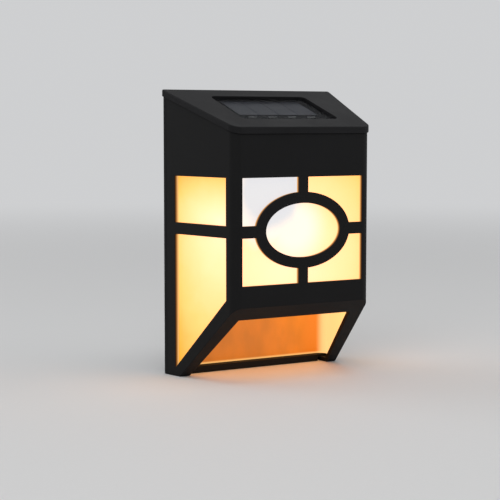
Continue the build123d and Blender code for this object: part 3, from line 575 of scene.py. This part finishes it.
        # By the corners the rear wall is deeper in colour, and then it takes on the side walls' colour
        aside = maths("ABSOLUTE", here["X"])
        behind = mixed(band(aside, 0.027, 0.039, 0.0, 0.85), lifted.outputs["Vector"], deep)
        behind = mixed(band(aside, 0.0398, 0.0448), behind, peach)
        rear = band(here["Y"], -0.0082, -0.0053)
        glow = mixed(rear, mixed(inward, outside, sides), behind)
        rim = times(fade(here["Z"], FLOOR_Z + 0.0039, FLOOR_Z + 0.0052), rear)
        return mixed(times(rim, 0.6), glow, lining)


class FENCELIGHT_OT_mouldings(bpy.types.Operator):
    """Build the soft-edged black mouldings: housing, roof, back plate, battery door and switch knob"""

    bl_idname = "fence_light.mouldings"
    bl_label = "Black mouldings"

    def execute(self, context):
        shape, finish = context.scene.fence_light_shape, context.scene.fence_light_finish
        soft, sheen, dust = shape.edge_softness, finish.sheen, tuple(finish.dust)
        black, roof = tuple(finish.case_black), tuple(finish.roof_black_painted_sheen)
        housing = softened("housing_shell", "housing", soft)
        self.mark_jambs(housing.data, shape)
        material, shader, coords = moulded_black("housing_black", black, dust, 0.12, sheen)
        # The jambs' warm glow is painted light, an emission on the black housing
        self.paint_jamb_light(shader, coords, shape)
        dress(housing, CASE, material, "case_black", "housing")
        for name, node, body, width, colour, settle, gloss, slot in (
            # The roof takes the lighter black, painted sheen of the upward roof
            ("roof_lid", "lid", CASE, soft, roof, 0.10, 0.02, "lid_black"),
            ("back_shell", "back_plate", CASE, soft, black, 0.2, 0.0, "case_black"),
            ("door_panel", "battery_door", DOOR, soft, black, 0.15, 0.03, "case_black"),
            ("switch_slider", "switch_knob", SWITCH, soft / 2, black, 0.1, 0.1, "knob_black"),
        ):
            material, _, _ = moulded_black(f"{name}_black", colour, dust, settle, sheen, gloss)
            dress(softened(name, node, width), body, material, slot, node)
        return {"FINISHED"}

    def mark_jambs(self, mesh, shape):
        """Mark the faces inside the window openings, which get the painted glow: within the wall, square to
        it, and off the mouth.

        Deep is the distance in from a tapered side, and above is the height square to the mouth's slant.
        """
        count = len(mesh.polygons)
        middle, normal = np.zeros(count * 3), np.zeros(count * 3)
        mesh.polygons.foreach_get("center", middle)
        mesh.polygons.foreach_get("normal", normal)
        x, y, z = middle.reshape(-1, 3).T
        normal_x, normal_y, _ = normal.reshape(-1, 3).T
        lean = math.atan(side_lean(shape))
        deep = (shape.back_width / 2 + y * side_lean(shape) - np.abs(x)) * math.cos(lean)
        outward = normal_x * math.cos(lean) * np.sign(x) - normal_y * math.sin(lean)
        run = shape.depth - shape.foot_depth
        above = (z - FLOOR_Z) * run + (y + shape.foot_depth) * shape.mouth_rise
        above /= math.hypot(run, shape.mouth_rise)
        skin, edge_on, rear, plain_top, mouth_rim = 0.0002, 0.3, -0.006, 0.040, 0.004
        windows = (z < TOP_Z - plain_top) & (above > mouth_rim)
        side = (deep > skin) & (deep < shape.wall) & (np.abs(outward) < edge_on) & (y < rear)
        front = (y > skin - shape.depth) & (y < shape.wall - shape.depth) & (np.abs(normal_y) < edge_on)
        mark = mesh.attributes.new("jamb", "FLOAT", "FACE")
        mark.data.foreach_set("value", (windows & (side | front)).astype(np.float32))

    def paint_jamb_light(self, shader, coords, shape):
        """Painted light on the openings' walls: a warm glow from the sleeve, strongest where they meet it.
        """
        mark = put("ShaderNodeAttribute", tree=shader.id_data, attribute_name="jamb").outputs["Fac"]
        here = parts(coords)
        half = maths("MULTIPLY_ADD", here["Y"], side_lean(shape), shape.back_width / 2)
        from_side = minus(half, maths("ABSOLUTE", here["X"]))
        deep = maths("MINIMUM", from_side, plus(here["Y"], shape.depth))
        glow = ramp(
            times(band(deep, 0.0, shape.wall), mark),
            (0.0, (0.0, 0.0, 0.0)), (0.06, (0.05, 0.012, 0.0)), (0.3, (0.22, 0.075, 0.012)),
            (0.7, (0.60, 0.29, 0.08)), (1.0, (1.0, 0.52, 0.18)),
        )
        feed(shader, Emission_Color=glow)
        shader.inputs["Emission Strength"].default_value = 1.0


class FENCELIGHT_OT_panel(bpy.types.Operator):
    """Build the clear cover of the solar panel and finish the cells below it"""

    bl_idname = "fence_light.panel"
    bl_label = "Solar panel"

    def execute(self, context):
        """In the roof's plane the cover is a rounded plate whose top rolls over at its rim.

        Each ring has its share of the plate's reach, its inset, which goes as roll * (1 - cos(a)), and its
        level, which goes as roll * sin(a). The underside stands a hair above the cells' tops, so that no
        two faces lie in one place.
        """
        shape = context.scene.fence_light_shape
        tilt = math.atan(shape.roof_fall / shape.depth)
        low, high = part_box("panel_cover")
        thick, roll, corner, hair = 0.001, 0.00045, 0.0027, 0.00003
        wide = high.x - low.x
        deep = (high.y - low.y - thick * math.sin(tilt)) / math.cos(tilt)
        rings = [(reach, 0.0, hair) for reach in (0.0, 0.5, 0.9, 1.0)]
        rings += [(1.0, 0.0, part * (thick - roll)) for part in (0.2, 0.5)]
        rings += [
            (1.0, roll * (1 - math.cos(angle)), thick - roll + roll * math.sin(angle))
            for angle in np.linspace(0, np.pi / 2, 6)
        ]
        rings += [(reach, roll, thick) for reach in (0.9, 0.5, 0.2, 0.0)]
        rows = []
        for reach, inset, level in rings:
            half_x, half_y = wide / 2 - inset, deep / 2 - inset
            plan = [(-half_x, -half_y), (half_x, -half_y), (half_x, half_y), (-half_x, half_y)]
            loop = rounded_path(plan, corner - inset, steps=8, fill=6)
            rows.append(np.column_stack([loop * reach, np.full(len(loop), level - thick / 2)]))
        axes = np.array([
            [1.0, 0.0, 0.0], [0.0, math.cos(tilt), math.sin(tilt)], [0.0, -math.sin(tilt), math.cos(tilt)],
        ])
        cover = surface("panel_resin", np.array((low + high) / 2) + np.array(rows) @ axes)
        dress(cover, CASE, self.resin(), "panel_resin", "panel_cover")
        coat("solar_cells", self.silicon(tilt))
        coat("solar_board", self.laminate(tilt))
        coat("cell_tabs", tinned("cell_tabs_tin", 600.0, 0.34, (0.42, 0.42, 0.41)))
        return {"FINISHED"}

    def resin(self):
        """Clear cast resin with a weathered haze: mostly see-through, a little grey with bonded dust."""
        material, shader, coords = started("panel_resin_clear")
        haze = clouds(coords, 260.0, 5.0, 0.6, 0.3)
        speck = clouds(coords, 1400.0, 3.0, 0.7)
        grey = ramp(haze, (0.3, (0.022, 0.022, 0.024)), (0.75, (0.040, 0.040, 0.043)))
        feed(shader, Base_Color=grey, Roughness=band(speck, 0.3, 0.75, 0.24, 0.34))
        bumped(shader, clouds(coords, 45.0, 1.0, 0.4), 0.00003, 0.3)
        clear = put("ShaderNodeBsdfTransparent", {"Color": (0.86, 0.87, 0.88, 1.0)}, shader.id_data)
        shared("Material Output", 0.09, clear, shader)
        return material

    def silicon(self, tilt):
        """Thin-film silicon: near-black with a violet to blue cast, faint scribe lines along each cell."""
        material, shader, coords = started("thin_film_silicon", Specular_IOR_Level=0.6)
        flat = laid(coords, turn=(-tilt, 0, 0))
        cast = clouds(laid(flat, (90.0, 18.0, 1.0)), 1.0)
        tone = ramp(
            cast, (0.25, (0.006, 0.006, 0.012)), (0.55, (0.010, 0.011, 0.024)), (0.8, (0.014, 0.010, 0.020))
        )
        half_pitch, half_line = 0.00075, 0.00006
        scribe = times(fade(maths("PINGPONG", parts(flat)["X"], half_pitch), 0.0, half_line), 0.3)
        tone = mixed(scribe, tone, (0.05, 0.052, 0.06))
        feed(shader, Base_Color=tone, Roughness=band(cast, 0.2, 0.8, 0.26, 0.36))
        bumped(shader, clouds(coords, 60.0, 1.0, 0.4), 0.00001, 0.3)
        return material

    def laminate(self, tilt):
        """Dark fibre laminate under the cells, with its weave faintly showing."""
        material, shader, coords = started("panel_laminate", Specular_IOR_Level=0.1)
        flat, half_pitch = parts(laid(coords, turn=(-tilt, 0, 0))), 0.0003
        warp, weft = (maths("PINGPONG", flat[axis], half_pitch) for axis in "XY")
        weave = maths("MULTIPLY", plus(warp, weft), 1600.0, clamp=True)
        tone = ramp(weave, (0.0, (0.0055, 0.0060, 0.0066)), (1.0, (0.0078, 0.0086, 0.0094)))
        feed(shader, Base_Color=tone, Roughness=band(weave, 0.0, 1.0, 0.70, 0.76))
        bumped(shader, weave, 0.000004, 0.3)
        return material


class FENCELIGHT_OT_lamps(bpy.types.Operator):
    """Build the two light-emitting diodes in the chamber's ceiling"""

    bl_idname = "fence_light.lamps"
    bl_label = "Light-emitting diodes"

    def execute(self, context):
        """A lens is a domed post with a collar, turned about its axis; its legs are turned too.

        At angle a the dome has a radius of dome * sin(a) and has risen by dome * (1 - cos(a)) from its tip.
        """
        low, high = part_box("leds")
        tip, seat = low.z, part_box("circuit_board")[0].z
        dome, collar, flange = 0.0025, 0.001, (high.y - low.y) / 2
        middle_x, middle_y = (low.x + high.x) / 2, (low.y + high.y) / 2
        spread = np.array([-1, 1]) * ((high.x - low.x) / 2 - flange)
        cap = np.linspace(0, np.pi / 2, 12)
        profile = np.vstack([
            np.column_stack([dome * np.sin(cap), tip + dome - dome * np.cos(cap)]),
            rounded_path(
                [
                    (dome, tip + dome), (dome, seat - collar), (flange, seat - collar), (flange, seat),
                    (0.0, seat),
                ],
                [0.0003, 0.0002, 0.0002], steps=3, closed=False,
            )[1:],
        ])
        lens = np.array([turned(profile, (middle_x + side, middle_y, 0.0)) for side in spread])
        # One side of each collar is flat: what lies beyond the flat is brought back to it
        hair = 0.0001
        out = lens[..., 0] - (middle_x + spread)[:, None, None]
        lens[..., 0] += np.minimum(0.0, dome + hair - out) * (lens[..., 2] > seat - collar - hair)
        dress(surface("diode_lenses", lens), CASE, self.epoxy(tip, seat), "led_lens", "leds")
        wire, half_pitch = 0.00025, 0.00127
        leg = [(0.0, seat), (wire, seat), (wire, high.z), (0.0, high.z)]
        path = rounded_path(leg, [1e-5, wire / 2], steps=3, closed=False)
        pins = [
            turned(path, (middle_x + side + foot * half_pitch, middle_y, 0.0), segments=12)
            for side in spread for foot in (-1, 1)
        ]
        dress(surface("diode_legs", pins), CASE, tinned("diode_legs_tin", 900.0, 0.25))
        return {"FINISHED"}

    def epoxy(self, tip, seat):
        """Warm epoxy that shines from its tip and dulls towards its collar."""
        material, shader, coords = started("diode_epoxy", Emission_Strength=4.0)
        cloud = clouds(coords, 700.0)
        up = band(parts(coords)["Z"], tip, seat)
        glow = ramp(up, (0.0, (1.0, 0.88, 0.66)), (0.4, (0.8, 0.62, 0.36)), (1.0, (0.16, 0.09, 0.03)))
        body = ramp(cloud, (0.3, (0.85, 0.80, 0.66)), (0.7, (0.92, 0.88, 0.76)))
        feed(shader, Emission_Color=glow, Base_Color=body, Roughness=band(cloud, 0.3, 0.7, 0.06, 0.14))
        return material


class FENCELIGHT_OT_battery(bpy.types.Operator):
    """Build the battery, its wrap, its spring and its contacts"""

    bl_idname = "fence_light.battery"
    bl_label = "Battery"

    def execute(self, context):
        low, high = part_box("battery_cell")
        centre = (0.0, (low.y + high.y) / 2, (low.z + high.z) / 2)
        self.can(low.x, high.x, (high.z - low.z) / 2, centre)
        self.wrap(centre)
        self.spring()
        coat("spring_plate", tinned("spring_plate_nickel", 500.0, 0.28, (0.60, 0.59, 0.55)))
        coat("contact_plate", tinned("contact_plate_nickel", 540.0, 0.26, (0.62, 0.61, 0.57)))
        return {"FINISHED"}

    def can(self, foot, tip, radius, centre):
        """Turn the can's profile, from a dished foot past a rolled groove to a raised pole."""
        shoulder, dish, groove, pole = tip - 0.001, 0.0003, 0.0004, 0.0027
        profile = rounded_path(
            [
                (0.0, foot + dish), (radius * 0.72, foot + dish), (radius * 0.76, foot), (radius, foot),
                (radius, shoulder - 0.0034), (radius - groove, shoulder - 0.0030),
                (radius - groove, shoulder - 0.0024), (radius, shoulder - 0.0020), (radius, shoulder),
                (radius * 0.80, shoulder), (radius * 0.77, shoulder - groove), (0.0030, shoulder - groove),
                (pole, shoulder), (pole, tip), (0.0, tip),
            ],
            np.array([2, 2, 7, 2, 2, 2, 2, 6, 2, 2, 1, 1, 5]) / 10000, closed=False,
        )
        cell = surface("battery_can", turned(profile, centre, "X", 72))
        nickel = tinned("battery_nickel", 420.0, 0.22, (0.66, 0.65, 0.62))
        dress(cell, CASE, nickel, "battery_can", "battery_cell")

    def wrap(self, centre):
        """Shrink the film on: near each end its outside dips by small pleats.

        A pleat is depth * e^(-distance from the end / reach) * (1 + sin(22 a + 40 x)) / 2.
        """
        low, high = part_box("battery_sleeve")
        outer, film, depth, reach, sides = (high.z - low.z) / 2, 0.00015, 0.00007, 0.0012, 96
        along = np.linspace(low.x, high.x, 90)
        ends = np.minimum(along - low.x, high.x - along)
        angle = circle(sides)
        pleats = (1 + np.sin(22 * angle + 40.0 * along[:, None])) / 2
        skin = outer - depth * np.exp(-ends / reach)[:, None] * pleats
        radius = np.concatenate([skin, np.full_like(skin, outer - film)])
        run = np.repeat(np.concatenate([along, along[::-1]])[:, None], sides, 1)
        grid = np.stack([run, radius * np.cos(angle), radius * np.sin(angle)], -1) + centre
        wrap = surface("battery_wrap", grid, (True, True))
        dress(wrap, CASE, self.film(high.x), "battery_wrap", "battery_sleeve")

    def spring(self):
        """Wind the spring: x runs with the turn while y and z go round a circle; both end turns lie flat.

        Over the flat share of its length at each end, x gains only the closed share of its run. Between
        them it gains evenly, but for an eased share that goes as 3 s^2 - 2 s^3.
        """
        low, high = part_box("battery_spring")
        wire, turns, flat, closed, eased = 0.00035, 4.25, 0.15, 0.13, 0.25
        round_y, round_z = (low.y + high.y) / 2, (low.z + high.z) / 2
        ring = (high.z - low.z) / 2 - wire
        u = np.linspace(0, 1, 420)
        level = np.clip((u - flat) / (1 - 2 * flat), 0, 1)
        level = (1 - eased) * level + eased * level * level * (3 - 2 * level)
        ends = (np.minimum(u, flat) + np.maximum(u, 1 - flat) - 1 + flat) / flat * closed
        x = low.x + wire + (high.x - low.x - 2 * wire) * (level * (1 - 2 * closed) + ends)
        angle = 2 * np.pi * turns * u
        centre = np.column_stack([x, round_y + ring * np.cos(angle), round_z + ring * np.sin(angle)])
        tangent = np.gradient(centre, axis=0)
        tangent /= np.linalg.norm(tangent, axis=1)[:, None]
        normal = np.column_stack([np.zeros_like(u), np.cos(angle), np.sin(angle)])
        coil = surface("battery_coil", tube(centre, tangent, normal, wire))
        steel = tinned("spring_wire_steel", 1100.0, 0.24, (0.58, 0.57, 0.55))
        dress(coil, CASE, steel, "spring_steel", "battery_spring")

    def film(self, end):
        """Green shrink film with a pale band near the raised pole."""
        material, shader, coords = started("battery_film", Coat_Weight=0.25, Coat_Roughness=0.2)
        slow, along = clouds(coords, 120.0, 4.0), parts(coords)["X"]
        green = ramp(slow, (0.3, (0.012, 0.10, 0.045)), (0.7, (0.018, 0.14, 0.062)))
        first, last, soft = end - 0.0074, end - 0.0040, 0.0002
        ring = times(band(along, first, first + soft), fade(along, last - soft, last))
        green = mixed(ring, green, (0.70, 0.70, 0.66))
        feed(shader, Base_Color=green, Roughness=band(slow, 0.25, 0.75, 0.24, 0.36))
        bumped(shader, slow, 0.00004, 0.4)
        return material


class FENCELIGHT_OT_works(bpy.types.Operator):
    """Finish the tray, the circuit board, the leads and the other small solids that are carried over"""

    bl_idname = "fence_light.works"
    bl_label = "Inner works"

    def execute(self, context):
        coat("electronics_tray", tinted_plastic("tray_white_plastic", (0.74, 0.72, 0.67), 0.45))
        coat("lid_seal", tinted_plastic("seal_rubber_black", (0.016, 0.016, 0.016), 0.78, 3200.0, 0.00005))
        coat("circuit_board", self.board())
        coat("driver_chip", tinted_plastic("chip_resin_black", (0.02, 0.02, 0.021), 0.42, 2600.0))
        coat("inductor", tinted_plastic("coil_lacquer_green", (0.06, 0.19, 0.10), 0.3, 1500.0, 0.00006))
        coat("switch_body", self.switch_can())
        coat("door_pin", tinned("door_pin_steel", 800.0, 0.3, (0.40, 0.40, 0.40)))
        for node in ("case_screws", "lid_screws", "board_screws"):
            coat(node, tinned(f"{node}_zinc", 700.0, 0.27, (0.60, 0.61, 0.62)))
        for node, colour in (
            ("solar_lead_red", (0.50, 0.016, 0.012)), ("solar_lead_black", (0.014, 0.014, 0.015)),
            ("battery_lead_red", (0.52, 0.018, 0.013)), ("battery_lead_black", (0.015, 0.015, 0.016)),
            ("switch_lead", (0.48, 0.015, 0.011)),
        ):
            coat(node, tinted_plastic(f"{node}_sheath", colour, 0.36, 900.0))
        return {"FINISHED"}

    def switch_can(self):
        """Zinc outside; in the pocket that the knob slides in, black plastic."""
        material = tinned("switch_can_zinc", 520.0, 0.3, (0.58, 0.59, 0.60))
        tree = material.node_tree
        shader = tree.nodes["Principled BSDF"]
        here = parts(put("ShaderNodeTexCoord", tree=tree).outputs["Object"])
        low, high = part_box("switch_body")
        half_x, half_z, floor_y, soft = 0.0043, 0.0019, high.y - 0.0026, 0.0001
        rise = maths("ABSOLUTE", minus(here["Z"], (low.z + high.z) / 2))
        aside = maths("ABSOLUTE", here["X"])
        pocket = times(fade(rise, half_z, half_z + soft), fade(aside, half_x, half_x + soft))
        pocket = times(pocket, band(here["Y"], floor_y, floor_y + soft))
        zinc = shader.inputs["Base Color"].links[0].from_socket
        tone = mixed(pocket, zinc, (0.012, 0.012, 0.012))
        feed(shader, Base_Color=tone, Metallic=minus(1.0, pocket))
        return material

    def board(self):
        """Green solder mask over copper, whose tracks show as lighter, raised bands on a coarse raster."""
        material, shader, coords = started("board_mask")
        black, white = (0, 0, 0, 1), (1, 1, 1, 1)
        tracks = put("ShaderNodeTexBrick", {
            "Vector": coords, "Scale": 260.0, "Mortar Size": 0.045, "Mortar Smooth": 0.2,
            "Brick Width": 1.6, "Row Height": 0.6, "Color1": black, "Color2": black, "Mortar": white,
        }).outputs["Fac"]
        slow = clouds(coords, 160.0)
        mask = ramp(slow, (0.3, (0.008, 0.062, 0.024)), (0.7, (0.011, 0.080, 0.032)))
        mask = mixed(tracks, mask, (0.020, 0.125, 0.045))
        feed(shader, Base_Color=mask, Roughness=band(slow, 0.3, 0.7, 0.2, 0.3))
        bumped(shader, tracks, 0.00003, 0.5)
        return material


class FENCELIGHT_OT_marks(bpy.types.Operator):
    """Raise the words ON and OFF in the floor of the switch's recess"""

    bl_idname = "fence_light.marks"
    bl_label = "Switch marks"

    def execute(self, context):
        """Text lies in x and y. Its x is turned to -X, its y to +Z and its height to +Y."""
        low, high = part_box("switch_knob")
        level, recess_y, sink, aside = (low.z + high.z) / 2, -0.002, 0.00008, 0.00525
        place = Matrix(((-1, 0, 0, 0), (0, 0, 1, recess_y + sink), (0, 1, 0, level), (0, 0, 0, 1)))
        for word, side in (("ON", -1), ("OFF", 1)):
            name = f"mark_{word}"
            curve = bpy.data.curves.new(name, "FONT")
            curve.body, curve.size, curve.extrude = word, 0.0017, 0.00009
            curve.align_x, curve.align_y = "CENTER", "CENTER"
            curve.bevel_depth, curve.resolution_u = 0.00002, 4
            shell = placed(name, curve)
            bpy.context.view_layer.update()
            finished = shell.evaluated_get(bpy.context.evaluated_depsgraph_get())
            mesh = bpy.data.meshes.new_from_object(finished)
            bpy.data.objects.remove(shell)
            place[0][3] = side * aside
            mesh.transform(place)
            paint = tinted_plastic(f"{name}_white", (0.6, 0.6, 0.58), 0.5)
            dress(placed(name, mesh), CASE, paint, "case_black")
        return {"FINISHED"}


class FENCELIGHT_OT_stage(bpy.types.Operator):
    """Set the pale floor, the soft lamps and the camera"""

    bl_idname = "fence_light.stage"
    bl_label = "Studio"

    def execute(self, context):
        studio, scene = context.scene.fence_light_studio, context.scene
        floor = placed("floor", self.disc())
        floor.data.materials.append(self.paper(studio))
        self.sky(scene, studio)
        for name, place, size, power in (
            ("lamp_key", (-0.75, -0.85, 0.95), 0.9, 4.6), ("lamp_fill", (0.95, -0.6, 0.55), 1.0, 2.0),
            ("lamp_rear", (-0.75, 0.95, 0.75), 0.9, 3.0), ("lamp_top", (0.0, -0.25, 1.25), 0.8, 3.4),
        ):
            light = bpy.data.lights.new(name, "AREA")
            light.size, light.energy = size, power * studio.lamp_light
            lamp = placed(name, light)
            lamp.location = place
            aim = -np.array(place)
            lamp.rotation_euler = (
                math.acos(-aim[2] / np.linalg.norm(aim)), 0.0, math.atan2(aim[1], aim[0]) - math.pi / 2
            )
        camera = bpy.data.cameras.new("camera")
        camera.lens, camera.sensor_width, camera.sensor_fit = studio.lens, 36.0, "HORIZONTAL"
        camera.clip_start, camera.clip_end = 0.01, 50.0
        eye = placed("camera", camera)
        eye.location = tuple(studio.stand)
        eye.rotation_euler = (math.pi / 2 - studio.drop, 0.0, -studio.azimuth)
        scene.camera = eye
        scene.view_settings.view_transform = "Standard"
        return {"FINISHED"}

    def disc(self):
        """The floor is a disc, (r cos a, r sin a, level), a hair below the feet, whose faces look up."""
        rings, spokes, inmost, outmost, hair = 40, 96, 0.05, 6.0, 0.0001
        radius = np.concatenate([[0.0], np.geomspace(inmost, outmost, rings)])[:, None]
        angle = circle(spokes)
        level = np.full((rings + 1, spokes), FLOOR_Z - hair)
        points = np.stack([radius * np.cos(angle), radius * np.sin(angle), level], -1)
        row, column = np.indices((rings, spokes))
        near, after = row * spokes, (column + 1) % spokes
        out = near + spokes
        quads = np.stack([near + column, out + column, out + after, near + after], -1)
        mesh = bpy.data.meshes.new("floor")
        mesh.from_pydata(points.reshape(-1, 3).tolist(), [], quads.reshape(-1, 4).tolist())
        return mesh

    def paper(self, studio):
        """Pale paper that fades into the background far from the light."""
        material, shader, coords = started("floor_paper", Roughness=0.75, Specular_IOR_Level=0.2)
        tree, tone = material.node_tree, tuple(studio.floor_tint)
        fibre = clouds(coords, 900.0, 4.0, 0.6)
        feed(shader, Base_Color=ramp(fibre, (0.3, scaled(tone, 0.985)), (0.7, tone)))
        faded = times(band(far(coords), 0.15, 1.6), sighted(tree))
        plain = put("ShaderNodeEmission", {"Color": (*studio.sky_tint, 1.0)}, tree)
        shared("Material Output", faded, shader, plain)
        return material

    def sky(self, scene, studio):
        """Soft light from all round, and a plain pale colour where the camera sees past the floor."""
        scene.world = bpy.data.worlds.new("sky")
        scene.world.use_nodes = True
        tree = scene.world.node_tree
        light = tree.nodes["Background"]
        light.inputs["Color"].default_value = (1.0, 1.0, 1.0, 1.0)
        light.inputs["Strength"].default_value = studio.sky_light
        plain = put("ShaderNodeBackground", {"Color": (*studio.sky_tint, 1.0)}, tree)
        shared("World Output", sighted(tree), light, plain)


GROUPS = {
    "fence_light_shape": FenceLightShape,
    "fence_light_finish": FenceLightFinish,
    "fence_light_studio": FenceLightStudio,
}
STEPS = (
    FENCELIGHT_OT_sleeve, FENCELIGHT_OT_mouldings, FENCELIGHT_OT_panel, FENCELIGHT_OT_lamps,
    FENCELIGHT_OT_battery, FENCELIGHT_OT_works, FENCELIGHT_OT_marks, FENCELIGHT_OT_stage,
)


class FENCELIGHT_PT_sidebar(bpy.types.Panel):
    """Lists the sizes, colours and steps of the fence light"""

    bl_idname = "FENCELIGHT_PT_sidebar"
    bl_label = "Fence light"
    bl_space_type = "VIEW_3D"
    bl_region_type = "UI"
    bl_category = "Fence light"

    def draw(self, context):
        for group in GROUPS:
            box = self.layout.box()
            settings = getattr(context.scene, group)
            for key in settings.__annotations__:
                box.prop(settings, key)
        for step in STEPS:
            self.layout.operator(step.bl_idname)


def register():
    """Make the settings, the steps and the sidebar known."""
    for made in (*GROUPS.values(), *STEPS, FENCELIGHT_PT_sidebar):
        bpy.utils.register_class(made)
    for name, group in GROUPS.items():
        setattr(bpy.types.Scene, name, bpy.props.PointerProperty(type=group))


def unregister():
    """Take them away again."""
    for name in GROUPS:
        delattr(bpy.types.Scene, name)
    for made in (FENCELIGHT_PT_sidebar, *reversed(STEPS), *reversed(GROUPS.values())):
        bpy.utils.unregister_class(made)


def main():
    """Register the tools and run them in order."""
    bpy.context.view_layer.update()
    register()
    bpy.ops.fence_light.sleeve()
    bpy.ops.fence_light.mouldings()
    bpy.ops.fence_light.panel()
    bpy.ops.fence_light.lamps()
    bpy.ops.fence_light.battery()
    bpy.ops.fence_light.works()
    bpy.ops.fence_light.marks()
    bpy.ops.fence_light.stage()


if __name__ == "__main__":
    main()
